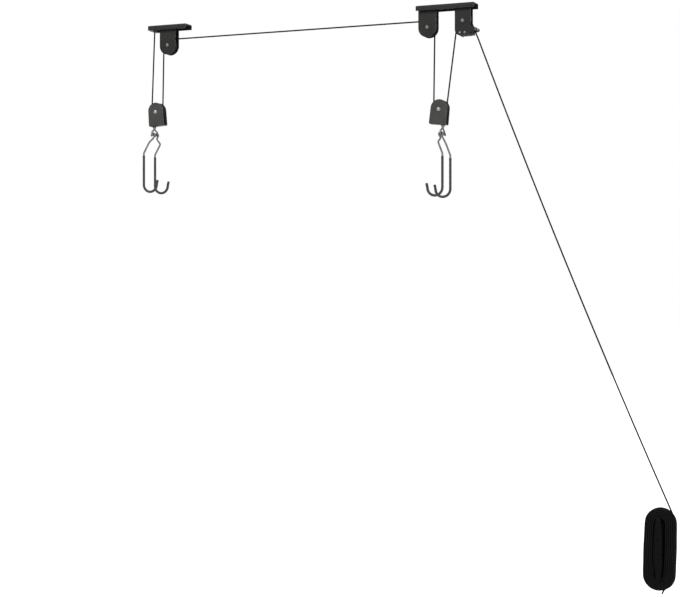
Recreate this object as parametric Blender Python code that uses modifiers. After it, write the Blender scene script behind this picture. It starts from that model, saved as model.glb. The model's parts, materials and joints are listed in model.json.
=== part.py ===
"""A ceiling hoist: two pulley brackets, two hook blocks and one rope that ends on a wall cleat.

Metres, +Z up. The origin is the middle of the lock bracket's top face, X runs along the line of
brackets and the rope lies in the plane Y = 0, apart from its hank. Each turned block is built in a
frame of its own whose +X points away from the other block.
"""

import math

import bmesh
import bpy
from mathutils import Matrix, Vector

# Layout: where the wheels sit
BRACKET_SPACING = 0.7515  # between the first pins of the two brackets
LOCK_SPACING = 0.0948  # from the lock bracket's first pin to its lock pin
BRACKET_PIN_DROP = 0.0550  # below the plate's top face
LOCK_PIN_DROP = 0.0440
LEFT_BLOCK_SHIFT = -0.0375  # block axle from its bracket's first pin, along X
LEFT_BLOCK_DROP = 0.2356
RIGHT_BLOCK_SHIFT = 0.0312
RIGHT_BLOCK_DROP = 0.2655
LEFT_BLOCK_TILT = math.radians(4.0)  # how far each block's foot leans towards the other block
RIGHT_BLOCK_TILT = math.radians(6.0)

# Ceiling plates
PLATE_WIDTH = 0.039
PLATE_THICKNESS = 0.0025
PLATE_LIP = 0.0132
PLATE_BEND = 0.0038  # outer radius of the folded edge
RIGHT_PLATE_LENGTH = 0.155
RIGHT_PLATE_OVERHANG = 0.0281  # from the plate's left end to its first pin
LEFT_PLATE_LENGTH = 0.115
LEFT_PLATE_OVERHANG = 0.056
SCREW_HOLE_RADIUS = 0.0035
LEFT_SCREWS = (-0.0335, 0.044)  # from the plate's first pin
RIGHT_SCREWS = (0.035, 0.062)

# Pulley housings and block shells, folded from strap
STRAP_THICKNESS = 0.002
STRAP_OUTER = 0.022  # over both cheeks
STRAP_BEND = 0.0032
HOUSING_WIDTH = 0.048
HOUSING_SKIRT = 0.0015  # straight side below the pin, before the round end
LOCK_WIDTH = 0.0415
LOCK_FOOT = 0.0378  # bottom edge below the lock pin
LOCK_CORNER = 0.016
LOCK_TOE = 0.003
EAR_RADIUS = 0.0045
EAR_TOP = 0.0135  # where the ear leaves the housing's side, below the lock pin
EAR_BOTTOM = 0.031
BLOCK_CROWN = 0.0223  # radius of the round top
BLOCK_TOP = 0.0254  # above the axle
BLOCK_FOOT = 0.0388  # below the axle
BLOCK_FOOT_WIDTH = 0.046
BLOCK_CORNER = 0.004

# Fits
GAP = 0.0003  # between pieces that touch
RUNNING_GAP = 0.0003  # between a pin and what turns on it
CUT_MARGIN = 0.005  # how far a cutter reaches past what it cuts

# Pins, bushes and wheels
AXLE_RADIUS = 0.003
AXLE_HEAD_RADIUS = 0.005
AXLE_HEAD_HEIGHT = 0.0025
BUSH_WALL = 0.0012
PULLEY_RADIUS = 0.0205
PULLEY_RIM = 0.0048  # half the rim's width
PULLEY_HUB_RADIUS = 0.0075
GROOVE_FLOOR = 0.0019  # half widths of the groove
GROOVE_MOUTH = 0.0036
RIVET_RADIUS = 0.0022
RIVET_HEAD_RADIUS = 0.0042
RIVET_HEAD_HEIGHT = 0.0015
RIVET_SPACING = 0.026

# Rope
ROPE_RADIUS = 0.002
ROPE_PITCH_RADIUS = 0.017  # of the rope's middle, round each pulley
ANCHOR_SHIFT = -0.0456  # the rope's fixed end from the left bracket's pin
ANCHOR_BAR = (0.012, 0.036, 0.0015)
KNOT_RADIUS = 0.0048
KNOT_HEIGHT = 0.0075
ROPE_EXIT_DROP = 0.090  # where the rope leaves the lock's guide
FREE_RUN_SAG = 0.009  # of the run to the cleat, across its line

# Rope lock
CAM_PIVOT = Vector((0.006, 0.0, -0.0305))  # from the lock pin
STOP_PIN = Vector((-0.007, 0.0, -0.0305))
LOCK_PIN_RADIUS = 0.0022
LOCK_PIN_HEAD = 0.0034
LOCK_PIN_HEAD_HEIGHT = 0.0016
CAM_WIDTH = 0.0168
CAM_HUB_RADIUS = 0.0068
CAM_TOP_ANGLE = math.radians(12.0)
CAM_SWEEP = math.radians(30.0)
CAM_GROWTH = 0.0018  # how much the toothed edge moves out over its sweep
CAM_TEETH = 6
CAM_TOOTH_DEPTH = 0.0013
CAM_TAIL_REACH = 0.0145
CAM_TAIL_HALF_ANGLE = math.radians(8.0)
CAM_OPENING = math.radians(14.0)
CAM_STOP_MARGIN = math.radians(2.0)
GUIDE_HEIGHT = -0.0265  # of the rope point beside the guide roller, from the lock pin
GUIDE_ROLLER_RADIUS = 0.003
GUIDE_PIN_RADIUS = 0.0015
GUIDE_PIN_HEAD = 0.0025
GUIDE_PIN_HEAD_HEIGHT = 0.0014

# Swivel yokes
SWIVEL_SHIFT = 0.012  # outwards from the block's middle
SWIVEL_RADIUS = 0.0035
SWIVEL_HEAD_RADIUS = 0.006
SWIVEL_HEAD_HEIGHT = 0.0028
SWIVEL_COLLAR_HEIGHT = 0.003
SWIVEL_NECK = 0.0065  # plain stem below the collar
WASHER_RADIUS = 0.0078
WASHER_THICKNESS = 0.0012
YOKE_BAR_DROP = 0.0625  # below the block's axle
YOKE_HALF_SPAN = 0.0155
YOKE_SHOULDER_SPAN = 0.0146
YOKE_SHOULDER_DROP = 0.0530
YOKE_WIRE_RADIUS = 0.0023
YOKE_CORNER = 0.003

# Hooks, each bent from one wire
HOOK_WIRE_RADIUS = 0.0025
HOOK_EYE_OPENING = math.radians(50.0)
HOOK_SPACING = 0.0098  # eye's middle from the yoke's middle
HOOK_CROOK_RADIUS = 0.020
HOOK_CROOK_DROP = 0.137  # middle of the crook below the bar
HOOK_TIP_RISE = 0.011  # straight tip above the crook's middle
HOOK_TIP_FLARE = 0.0025
HOOK_OFFSET_TOP = 0.0215  # where the wire starts to step outwards, below the bar
HOOK_OFFSET_END = 0.051
HOOK_BEND = 0.006
LEFT_HOOK_SPLAY = 0.031  # shank from the hoist's middle plane
RIGHT_HOOK_SPLAY = 0.031
LEFT_HOOK_OFFSET = 0.017  # shank outwards from the bar
RIGHT_HOOK_OFFSET = 0.0115
SLEEVE_TOP_DROP = 0.058
SLEEVE_WALL = 0.0007
SLEEVE_TIP = 0.0012  # thickness over the wire's end
SLEEVE_BORE_OVERRUN = 0.004  # of the bore's cutter above the mouth

# Hank and wall cleat
HANK_SHIFT = 0.540  # its middle along X
HANK_DROP = 1.3524  # its middle below the ceiling
HANK_HALF_RUN = 0.062  # half the length of the straight runs
HANK_END_RADIUS = 0.038  # of the outermost loop's round ends
HANK_STEP = 0.0046  # between neighbouring loops
HANK_ENTRY = 0.0004  # how far outside the outermost loop the rope arrives
HANK_LAYER_STEP = 0.0046
HANK_LEAN = math.radians(1.7)
HANK_REVERSALS = (5.75, 11.25, 16.75)  # turns at which the spiral turns back
HANK_LAST_TURN = 22.47
HANK_BULGE = 0.0011  # how far the runs bow outwards
HANK_TAIL = 0.009
HANK_TAIL_FALLS = ((0.55, 0.45), (1.0, 1.1))  # share of the tail, and how much it falls there
CLEAT_WIDTH = 0.018
CLEAT_TIP_WIDTH = 0.012
CLEAT_HALF_LENGTH = 0.077
CLEAT_HORN_THICKNESS = 0.009
CLEAT_TIP_THICKNESS = 0.004
CLEAT_TIP_TAPER = 0.010  # length of the slope at each tip
CLEAT_LEG_INNER = 0.016
CLEAT_LEG_OUTER = 0.031
CLEAT_BASE = (0.036, 0.006, 0.150)
CLEAT_FOOT_FLARE = 0.004  # how much each leg widens at the base
CLEAT_FOOT_RISE = 0.003
CLEAT_ROOT = 0.002  # how far the legs run into the base
CLEAT_SCREW_RADIUS = 0.0024
WALL_Y = 0.024

# Facets
WHEEL_STEPS = 20
PIN_STEPS = 12
HOLE_STEPS = 12
WIRE_RESOLUTION = 2
LOOP_RESOLUTION = 1
POINTS_A_LOOP = 24
WRAP_STEP = math.radians(15.0)
BEND_STEPS = 2
EYE_STEPS = 7
CROOK_STEPS = 8
FREE_RUN_STEPS = 16
WELD = 1e-6
SCREW_MERGE = 1e-5
NEIGHBOURHOOD = 0.04  # within which stretches of the hank are compared

# Places worked out from the sizes above
HALF_STRAP = STRAP_OUTER / 2
HALF_INNER = HALF_STRAP - STRAP_THICKNESS
RIGHT_PIN = Vector((RIGHT_PLATE_OVERHANG - RIGHT_PLATE_LENGTH / 2, 0.0, -BRACKET_PIN_DROP))
LEFT_PIN = RIGHT_PIN - Vector((BRACKET_SPACING, 0.0, 0.0))
LOCK_PIN = Vector((RIGHT_PIN.x + LOCK_SPACING, 0.0, -LOCK_PIN_DROP))
LEFT_AXLE = Vector((LEFT_PIN.x + LEFT_BLOCK_SHIFT, 0.0, -LEFT_BLOCK_DROP))
RIGHT_AXLE = Vector((RIGHT_PIN.x + RIGHT_BLOCK_SHIFT, 0.0, -RIGHT_BLOCK_DROP))
LEFT_PLATE_X = LEFT_PIN.x - LEFT_PLATE_OVERHANG + LEFT_PLATE_LENGTH / 2
CAM_AXIS = LOCK_PIN + CAM_PIVOT
HANK_MIDDLE = Vector((HANK_SHIFT, 0.0, -HANK_DROP))
STRAP_TOP = -PLATE_THICKNESS - GAP
BUSH_RADIUS = AXLE_RADIUS + RUNNING_GAP + BUSH_WALL
HOOK_EYE_RADIUS = YOKE_WIRE_RADIUS + RUNNING_GAP + HOOK_WIRE_RADIUS

PAINT = (0.028, 0.029, 0.027)
BLOCK_PAINT = (0.075, 0.072, 0.068)
ZINC = (0.55, 0.56, 0.56)
NYLON = (0.02, 0.02, 0.021)
ROPE_BLACK = (0.012, 0.012, 0.013)
VINYL = (0.05, 0.05, 0.047)


def make_collection(name, hidden):
    made = bpy.data.collections.new(name)
    bpy.context.scene.collection.children.link(made)
    made.hide_render = hidden
    return made


def make_material(name, colour, roughness, metallic):
    made = bpy.data.materials.new(name)
    made.use_nodes = True
    shader = made.node_tree.nodes["Principled BSDF"]
    shader.inputs["Base Color"].default_value = (*colour, 1.0)
    shader.inputs["Roughness"].default_value = roughness
    shader.inputs["Metallic"].default_value = metallic
    made.diffuse_color = (*colour, 1.0)
    return made


def keep(obj, collection, parent=None):
    """Links an object and hangs it on its parent."""
    collection.objects.link(obj)
    obj.parent = parent
    if collection.hide_render:
        obj.hide_render = True
        obj.display_type = "WIRE"
    return obj


def finish(obj, colour, roughness, metallic):
    """Gives a piece its own material and smooth round faces."""
    obj.data.materials.append(make_material(obj.name + "_finish", colour, roughness, metallic))
    if obj.type == "MESH":
        obj.data.shade_smooth()
        obj.data.set_sharp_from_angle(angle=math.radians(35.0))
    return obj


def anchor(name, location, rotation=(0.0, 0.0, 0.0)):
    """An empty that carries the pieces that move together."""
    made = bpy.data.objects.new(name, None)
    made.location = location
    made.rotation_euler = rotation
    made.empty_display_size = 0.02
    PARTS.objects.link(made)
    return made


def combine(obj, other, operation):
    modifier = obj.modifiers.new(operation.lower(), "BOOLEAN")
    modifier.operation = operation
    modifier.solver = "EXACT"
    modifier.object = other


def mesh_of(curve_object):
    """Turns a curve object into a mesh object with welded caps, and removes the curve."""
    collection = curve_object.users_collection[0]
    graph = bpy.context.evaluated_depsgraph_get()
    mesh = bpy.data.meshes.new_from_object(curve_object.evaluated_get(graph))
    edit = bmesh.new()
    edit.from_mesh(mesh)
    bmesh.ops.remove_doubles(edit, verts=edit.verts, dist=WELD)
    bmesh.ops.recalc_face_normals(edit, faces=edit.faces)
    edit.to_mesh(mesh)
    edit.free()
    name = curve_object.name
    made_matrix = curve_object.matrix_local.copy()
    parent = curve_object.parent
    bpy.data.objects.remove(curve_object)
    made = keep(bpy.data.objects.new(name, mesh), collection, parent)
    made.matrix_local = made_matrix
    return made


def outlined(name, collection, outlines, depth, along, parent=None):
    """A flat outline, with any further outlines as its holes, extruded equally to both sides.

    Along Y the outline's points are (x, z), and along X they are (y, z).
    """
    curve = bpy.data.curves.new(name, "CURVE")
    curve.dimensions = "2D"
    curve.fill_mode = "BOTH"
    curve.extrude = depth / 2
    for outline in outlines:
        spline = curve.splines.new("POLY")
        spline.points.add(len(outline) - 1)
        for point, (across, up) in zip(spline.points, outline):
            point.co = (across, up, 0.0, 1.0)
        spline.use_cyclic_u = True
    made = mesh_of(keep(bpy.data.objects.new(name, curve), collection, parent))
    if along == "Y":
        made.data.transform(Matrix.Rotation(math.pi / 2, 4, "X"))
    else:
        made.data.transform(Matrix(((0, 0, 1, 0), (1, 0, 0, 0), (0, 1, 0, 0), (0, 0, 0, 1))))
    return made


def tube(name, collection, points, radius, resolution, parent=None, closed=False):
    """A wire or rope along straight stretches between points."""
    curve = bpy.data.curves.new(name, "CURVE")
    curve.dimensions = "3D"
    curve.bevel_depth = radius
    curve.bevel_resolution = resolution
    curve.use_fill_caps = not closed
    spline = curve.splines.new("POLY")
    spline.points.add(len(points) - 1)
    for point, place in zip(spline.points, points):
        point.co = (*place, 1.0)
    spline.use_cyclic_u = closed
    spline.use_smooth = True
    return keep(bpy.data.objects.new(name, curve), collection, parent)


def turned(name, collection, profile, steps, location, parent=None, along="Y"):
    """A turned piece. Its profile, (radius, height) points, runs down the outer side."""
    mesh = bpy.data.meshes.new(name)
    edit = bmesh.new()
    corners = [edit.verts.new((radius, 0.0, height)) for radius, height in profile]
    for first, second in zip(corners, corners[1:]):
        edit.edges.new((first, second))
    if profile[0][0] > 0.0:
        edit.edges.new((corners[-1], corners[0]))
    edit.to_mesh(mesh)
    edit.free()
    made = keep(bpy.data.objects.new(name, mesh), collection, parent)
    made.location = location
    if along == "Y":
        made.rotation_euler = (math.pi / 2, 0.0, 0.0)
    screw = made.modifiers.new("turn", "SCREW")
    screw.axis = "Z"
    screw.steps = steps
    screw.render_steps = steps
    screw.use_merge_vertices = True
    screw.merge_threshold = SCREW_MERGE
    return made


def drilled(obj, name, location, radius, length, parent=None, along="Y", wide=None):
    """Cuts a round hole, or a countersunk one where a wider end is given."""
    mesh = bpy.data.meshes.new(name)
    edit = bmesh.new()
    bmesh.ops.create_cone(
        edit,
        cap_ends=True,
        segments=HOLE_STEPS,
        radius1=radius,
        radius2=wide or radius,
        depth=length,
    )
    if along == "Y":
        bmesh.ops.rotate(edit, verts=edit.verts, matrix=Matrix.Rotation(math.pi / 2, 3, "X"))
    edit.to_mesh(mesh)
    edit.free()
    cutter = keep(bpy.data.objects.new(name, mesh), CUTTERS, parent)
    cutter.location = location
    combine(obj, cutter, "DIFFERENCE")


def arc(across, up, radius, start, end, steps):
    """Points on a circle from one angle to another, in degrees, ends included."""
    angles = [math.radians(start + (end - start) * i / steps) for i in range(steps + 1)]
    return [(across + radius * math.cos(a), up + radius * math.sin(a)) for a in angles]


def folded_outline(width, drop, thickness, bend):
    """Section (y, z) of a strip whose long edges are folded down. Its web's top is at z = 0."""
    side = width / 2
    inner_bend = bend - thickness
    outer = arc(bend - side, -bend, bend, 180, 90, 3) + arc(side - bend, -bend, bend, 90, 0, 3)
    inner = arc(side - bend, -bend, inner_bend, 0, 90, 3)
    inner += arc(bend - side, -bend, inner_bend, 90, 180, 3)
    lips = [(side, -drop), (side - thickness, -drop)]
    return [(-side, -drop)] + outer + lips + inner + [(thickness - side, -drop)]


def rounded(points, radius, steps):
    """An open path through points in space, with each inner corner rounded off."""
    path = [points[0]]
    for before, corner, after in zip(points, points[1:], points[2:]):
        back = (before - corner).normalized()
        on = (after - corner).normalized()
        half = back.angle(on) / 2
        reach = radius / math.tan(half)
        reach = min(reach, (before - corner).length * 0.49, (after - corner).length * 0.49)
        swing = reach * math.tan(half)
        middle = corner + (back + on).normalized() * swing / math.sin(half)
        first = corner + back * reach - middle
        last = corner + on * reach - middle
        turn = first.rotation_difference(last)
        for i in range(steps + 1):
            spoke = first.copy()
            spoke.rotate(Matrix.Identity(3).to_quaternion().slerp(turn, i / steps))
            path.append(middle + spoke)
    return path + [points[-1]]


def trimmed(points, start_cut, end_cut):
    """The same path, a little shorter at its ends."""
    path = [point.copy() for point in points]
    path[0] += (path[1] - path[0]).normalized() * start_cut
    path[-1] += (path[-2] - path[-1]).normalized() * end_cut
    return path


def run_between(start, start_reach, end, end_reach):
    """Both ends of the straight rope between two wheels.

    A reach is the rope's distance from the wheel's middle, positive where the rope passes on the
    right of it, seen along the run.
    """
    span = end - start
    heading = math.atan2(span.z, span.x) + math.asin((start_reach - end_reach) / span.length)
    right = Vector((math.sin(heading), 0.0, -math.cos(heading)))
    return start + right * start_reach, end + right * end_reach


def wrapped(centre, first, last, turning_left):
    """Rope points round a wheel, from one tangent point to the other."""
    start = math.atan2(first.z - centre.z, first.x - centre.x)
    end = math.atan2(last.z - centre.z, last.x - centre.x)
    sweep = (end - start) % math.tau if turning_left else -((start - end) % math.tau)
    steps = round(abs(sweep) / WRAP_STEP)
    radius = (first - centre).length
    angles = [start + sweep * i / steps for i in range(steps + 1)]
    return [centre + radius * Vector((math.cos(a), 0.0, math.sin(a))) for a in angles]


def sagging(first, last):
    """The run to the cleat, which bows a little under its own weight."""
    along = (last - first).normalized()
    across = Vector((along.z, 0.0, -along.x))
    shares = [i / FREE_RUN_STEPS for i in range(FREE_RUN_STEPS + 1)]
    return [first.lerp(last, s) + across * (4 * FREE_RUN_SAG * s * (1 - s)) for s in shares]


def rivet_head(radius, height, base):
    """Outer points of a low domed head that stands on height `base`, from its top down."""
    return [
        (0.0, base + height),
        (radius * 0.75, base + height * 0.7),
        (radius, base),
    ]


def through_pin(name, location, radius, head_radius, head_height, parent=None):
    """A pin through both cheeks of a strap, with a formed head on each side."""
    top = rivet_head(head_radius, head_height, HALF_STRAP + GAP)
    bottom = [(r, -h) for r, h in reversed(top)]
    profile = top + [(radius, HALF_STRAP + GAP), (radius, -HALF_STRAP - GAP)] + bottom
    made = turned(name, PARTS, profile, PIN_STEPS, location, parent)
    return finish(made, ZINC, 0.3, 1.0)


def ring(name, location, bore, radius, half_width, parent=None, steps=PIN_STEPS, along="Y"):
    profile = [(radius, half_width), (radius, -half_width), (bore, -half_width), (bore, half_width)]
    return turned(name, PARTS, profile, steps, location, parent, along)


def make_wheel(prefix, pin_name, location, parent=None):
    """An axle through both cheeks, the bush on it and the pulley on the bush."""
    through_pin(pin_name, location, AXLE_RADIUS, AXLE_HEAD_RADIUS, AXLE_HEAD_HEIGHT, parent)
    half = HALF_INNER - GAP
    bush = ring(prefix + "_bush", location, AXLE_RADIUS + RUNNING_GAP, BUSH_RADIUS, half, parent)
    finish(bush, ZINC, 0.35, 1.0)
    floor = ROPE_PITCH_RADIUS - ROPE_RADIUS - GAP
    hub = HALF_INNER - 2 * GAP
    bore = BUSH_RADIUS + RUNNING_GAP
    upper = [(PULLEY_RADIUS, PULLEY_RIM), (PULLEY_RADIUS, GROOVE_MOUTH), (floor, GROOVE_FLOOR)]
    lower = [(r, -h) for r, h in reversed(upper)]
    sides = [(PULLEY_HUB_RADIUS, -hub), (bore, -hub), (bore, hub), (PULLEY_HUB_RADIUS, hub)]
    pulley = turned(prefix + "_pulley", PARTS, upper + lower + sides, WHEEL_STEPS, location, parent)
    finish(pulley, NYLON, 0.45, 0.0)


def make_plate(name, middle_x, length, screws, rivets):
    """A channel-shaped plate whose top face lies on the ceiling."""
    section = folded_outline(PLATE_WIDTH, PLATE_LIP, PLATE_THICKNESS, PLATE_BEND)
    plate = outlined(name, PARTS, [section], length, "X")
    plate.location = (middle_x, 0.0, 0.0)
    for i, x in enumerate(screws):
        depth = 2 * (PLATE_THICKNESS + CUT_MARGIN)
        drilled(plate, f"{name}_screw_hole_{i}", (x, 0.0, 0.0), SCREW_HOLE_RADIUS, depth, along="Z")
    for i, x in enumerate(rivets):
        place = (x, 0.0, -PLATE_THICKNESS / 2)
        narrow = RIVET_RADIUS + GAP
        wide = RIVET_HEAD_RADIUS
        depth = PLATE_THICKNESS + 2 * GAP
        drilled(plate, f"{name}_rivet_hole_{i}", place, narrow, depth, along="Z", wide=wide)
    return finish(plate, PAINT, 0.42, 0.0)


def make_housing(name, pin, outline, drop, pin_holes):
    """A strap folded down under a plate, its cheeks cut to an outline about the pin."""
    section = folded_outline(STRAP_OUTER, drop, STRAP_THICKNESS, STRAP_BEND)
    across = [point[0] for point in outline]
    length = 2 * (max(-min(across), max(across)) + CUT_MARGIN)
    strap = outlined(name, PARTS, [section], length, "X")
    strap.location = (pin.x, 0.0, STRAP_TOP)
    shape = outlined(name + "_shape", CUTTERS, [outline], 2 * STRAP_OUTER, "Y")
    shape.location = pin
    combine(strap, shape, "INTERSECT")
    for i, (place, radius) in enumerate(pin_holes):
        drilled(strap, f"{name}_pin_hole_{i}", place, radius + GAP, 2 * STRAP_OUTER)
    for i, shift in enumerate((-RIVET_SPACING / 2, RIVET_SPACING / 2)):
        place = (pin.x + shift, 0.0, STRAP_TOP)
        depth = 2 * (STRAP_THICKNESS + CUT_MARGIN)
        drilled(strap, f"{name}_rivet_hole_{i}", place, RIVET_RADIUS + GAP, depth, along="Z")
    return finish(strap, PAINT, 0.42, 0.0)


def make_flush_rivets(name, pin_x):
    """Countersunk in the plate's top face, headed under the strap's web."""
    under = STRAP_TOP - STRAP_THICKNESS - GAP
    for letter, shift in (("a", -RIVET_SPACING / 2), ("b", RIVET_SPACING / 2)):
        profile = [
            (0.0, -GAP),
            (RIVET_HEAD_RADIUS - 2 * GAP, -GAP),
            (RIVET_RADIUS, -PLATE_THICKNESS + GAP),
            (RIVET_RADIUS, under),
            (RIVET_HEAD_RADIUS, under),
            (0.0, under - RIVET_HEAD_HEIGHT),
        ]
        place = (pin_x + shift, 0.0, 0.0)
        rivet = turned(f"{name}_{letter}", PARTS, profile, PIN_STEPS, place, along="Z")
        finish(rivet, ZINC, 0.35, 1.0)


def round_housing_outline():
    side = HOUSING_WIDTH / 2
    skirt = arc(0.0, -HOUSING_SKIRT, side, 180, 360, 12)
    above = BRACKET_PIN_DROP
    return [(-side, above)] + skirt + [(side, above)]


def lock_housing_outline(guide):
    """Straight sides, a round lower corner at the back and an ear for the guide at the front."""
    side = LOCK_WIDTH / 2
    ear = guide - LOCK_PIN
    corner = arc(LOCK_CORNER - side, LOCK_CORNER - LOCK_FOOT, LOCK_CORNER, 180, 270, 5)
    toe = arc(side - LOCK_TOE, LOCK_TOE - LOCK_FOOT, LOCK_TOE, 270, 360, 2)
    tip = arc(ear.x, ear.z, EAR_RADIUS, -85, 60, 6)
    return (
        [(-side, LOCK_PIN_DROP)]
        + corner
        + toe
        + [(side, -EAR_BOTTOM)]
        + tip
        + [(side, -EAR_TOP), (side, LOCK_PIN_DROP)]
    )


def block_outline():
    foot = BLOCK_FOOT_WIDTH / 2
    low = -BLOCK_FOOT - GAP
    corner = BLOCK_CORNER
    crown = arc(0.0, BLOCK_TOP - BLOCK_CROWN, BLOCK_CROWN, 0, 180, 12)
    left = arc(corner - foot, low + corner, corner, 180, 270, 3)
    right = arc(foot - corner, low + corner, corner, 270, 360, 3)
    return crown + left + right


def make_brackets(guide):
    """Both plates with their housings, rivets, pins and wheels."""
    half_rivets = (-RIVET_SPACING / 2, RIVET_SPACING / 2)
    left_screws = [LEFT_PIN.x + x for x in LEFT_SCREWS]
    right_screws = [RIGHT_PIN.x + x for x in RIGHT_SCREWS]
    left_rivets = [LEFT_PIN.x + x for x in half_rivets]
    right_rivets = [pin.x + x for pin in (RIGHT_PIN, LOCK_PIN) for x in half_rivets]
    make_plate("left_ceiling_plate", LEFT_PLATE_X, LEFT_PLATE_LENGTH, left_screws, left_rivets)
    make_plate("right_ceiling_plate", 0.0, RIGHT_PLATE_LENGTH, right_screws, right_rivets)
    drop = BRACKET_PIN_DROP + HOUSING_SKIRT + HOUSING_WIDTH
    for side, pin in (("left", LEFT_PIN), ("right", RIGHT_PIN)):
        holes = [(pin, AXLE_RADIUS)]
        make_housing(f"{side}_pulley_housing", pin, round_housing_outline(), drop, holes)
        make_flush_rivets(f"{side}_housing_rivet", pin.x)
        make_wheel(f"{side}_bracket", f"{side}_bracket_axle", pin)
    holes = [
        (LOCK_PIN, AXLE_RADIUS),
        (CAM_AXIS, LOCK_PIN_RADIUS),
        (LOCK_PIN + STOP_PIN, LOCK_PIN_RADIUS),
        (guide, GUIDE_PIN_RADIUS),
    ]
    drop = LOCK_PIN_DROP + LOCK_FOOT + CUT_MARGIN
    make_housing("lock_housing", LOCK_PIN, lock_housing_outline(guide), drop, holes)
    make_flush_rivets("lock_housing_rivet", LOCK_PIN.x)
    make_wheel("lock", "lock_axle", LOCK_PIN)


def guide_place(leaving):
    """Middle of the guide roller, which runs on the rope's far side from the cam."""
    start, end = leaving
    along = (end - start).normalized()
    outwards = Vector((-along.z, 0.0, along.x))
    share = (LOCK_PIN.z + GUIDE_HEIGHT - start.z) / along.z
    return start + along * share + outwards * (ROPE_RADIUS + GAP + GUIDE_ROLLER_RADIUS)


def cam_outline(leaving):
    """The toothed cam about its pivot: hub, growing toothed edge and the tail that meets its stop."""
    start, end = leaving
    along = (end - start).normalized()
    outwards = Vector((-along.z, 0.0, along.x))
    distance = (start - CAM_AXIS).dot(outwards) - ROPE_RADIUS - GAP
    facing = math.atan2(outwards.z, outwards.x)
    reach = distance / math.cos(facing - CAM_TOP_ANGLE)
    pitch = CAM_SWEEP / CAM_TEETH

    def polar(radius, angle):
        return radius * math.cos(angle), radius * math.sin(angle)

    points = [polar(CAM_HUB_RADIUS * 1.05, math.radians(75.0))]
    points.append(polar(reach - CAM_TOOTH_DEPTH, CAM_TOP_ANGLE + pitch))
    for i in range(CAM_TEETH):
        radius = reach + CAM_GROWTH * i / CAM_TEETH
        angle = CAM_TOP_ANGLE - i * pitch
        points.append(polar(radius, angle))
        points.append(polar(radius - CAM_TOOTH_DEPTH, angle - pitch * 0.8))
    points.append(polar(reach + CAM_GROWTH, CAM_TOP_ANGLE - CAM_SWEEP))
    points.append(polar(CAM_HUB_RADIUS * 1.05, math.radians(-68.0)))
    to_stop = STOP_PIN - CAM_PIVOT
    stop_half = math.asin(LOCK_PIN_RADIUS / to_stop.length)
    stop_angle = math.atan2(to_stop.z, to_stop.x) % math.tau - math.tau
    tail = stop_angle + stop_half + CAM_OPENING + CAM_STOP_MARGIN + CAM_TAIL_HALF_ANGLE
    points.append(polar(CAM_HUB_RADIUS, tail + 2.5 * CAM_TAIL_HALF_ANGLE))
    points.append(polar(CAM_TAIL_REACH, tail + CAM_TAIL_HALF_ANGLE))
    points.append(polar(CAM_TAIL_REACH, tail - CAM_TAIL_HALF_ANGLE))
    points.append(polar(CAM_HUB_RADIUS, tail - 2.0 * CAM_TAIL_HALF_ANGLE))
    return points + arc(0.0, 0.0, CAM_HUB_RADIUS, -175, -265, 5)


def make_lock(leaving, guide):
    """Cam, its pivot and stop, and the guide roller on its pin."""
    cam = outlined("lock_cam", PARTS, [cam_outline(leaving)], CAM_WIDTH, "Y")
    cam.location = CAM_AXIS
    drilled(cam, "cam_bore", CAM_AXIS, LOCK_PIN_RADIUS + RUNNING_GAP, 2 * CAM_WIDTH)
    finish(cam, ZINC, 0.4, 1.0)
    sizes = (LOCK_PIN_RADIUS, LOCK_PIN_HEAD, LOCK_PIN_HEAD_HEIGHT)
    through_pin("cam_pivot_pin", CAM_AXIS, *sizes)
    through_pin("cam_stop_pin", LOCK_PIN + STOP_PIN, *sizes)
    bore = GUIDE_PIN_RADIUS + RUNNING_GAP
    roller = ring("guide_roller", guide, bore, GUIDE_ROLLER_RADIUS, HALF_INNER - 2 * GAP)
    finish(roller, ZINC, 0.35, 1.0)
    through_pin("guide_pin", guide, GUIDE_PIN_RADIUS, GUIDE_PIN_HEAD, GUIDE_PIN_HEAD_HEIGHT)


def make_block(side, axle, turn, tilt, splay, offset):
    """One hanging block. Its frame leans by the tilt, and the hooks hang straight down from it."""
    frame = anchor(f"{side}_block_frame", axle, (0.0, tilt, turn))
    cheek = BLOCK_FOOT + BLOCK_TOP + CUT_MARGIN
    section = folded_outline(STRAP_OUTER, cheek, STRAP_THICKNESS, STRAP_BEND)
    length = BLOCK_FOOT_WIDTH + 2 * CUT_MARGIN
    shell = outlined(f"{side}_block_shell", PARTS, [section], length, "X", frame)
    shell.data.transform(Matrix.Rotation(math.pi, 4, "X"))
    shell.location = (0.0, 0.0, -BLOCK_FOOT)
    name = f"{side}_block_shape"
    shape = outlined(name, CUTTERS, [block_outline()], 2 * STRAP_OUTER, "Y", frame)
    combine(shell, shape, "INTERSECT")
    drilled(shell, f"{side}_axle_hole", (0, 0, 0), AXLE_RADIUS + GAP, 2 * STRAP_OUTER, frame)
    place = (SWIVEL_SHIFT, 0.0, -BLOCK_FOOT)
    depth = 2 * (STRAP_THICKNESS + CUT_MARGIN)
    drilled(shell, f"{side}_swivel_hole", place, SWIVEL_RADIUS + RUNNING_GAP, depth, frame, "Z")
    finish(shell, BLOCK_PAINT, 0.5, 0.0)
    make_wheel(f"{side}_block", f"{side}_block_axle", (0.0, 0.0, 0.0), frame)
    make_yoke(side, frame)
    bar = Matrix.Translation(axle) @ Matrix.Rotation(turn, 4, "Z") @ Matrix.Rotation(tilt, 4, "Y")
    bar_place = bar @ Vector((SWIVEL_SHIFT, 0.0, -YOKE_BAR_DROP))
    hooks = anchor(f"{side}_hook_frame", bar_place, (0.0, 0.0, turn))
    near_side = -1.0 if math.cos(turn) > 0.0 else 1.0
    for place_name, hand in (("near", near_side), ("far", -near_side)):
        make_hook(f"{side}_{place_name}_hook", hooks, hand, splay, offset)


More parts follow.
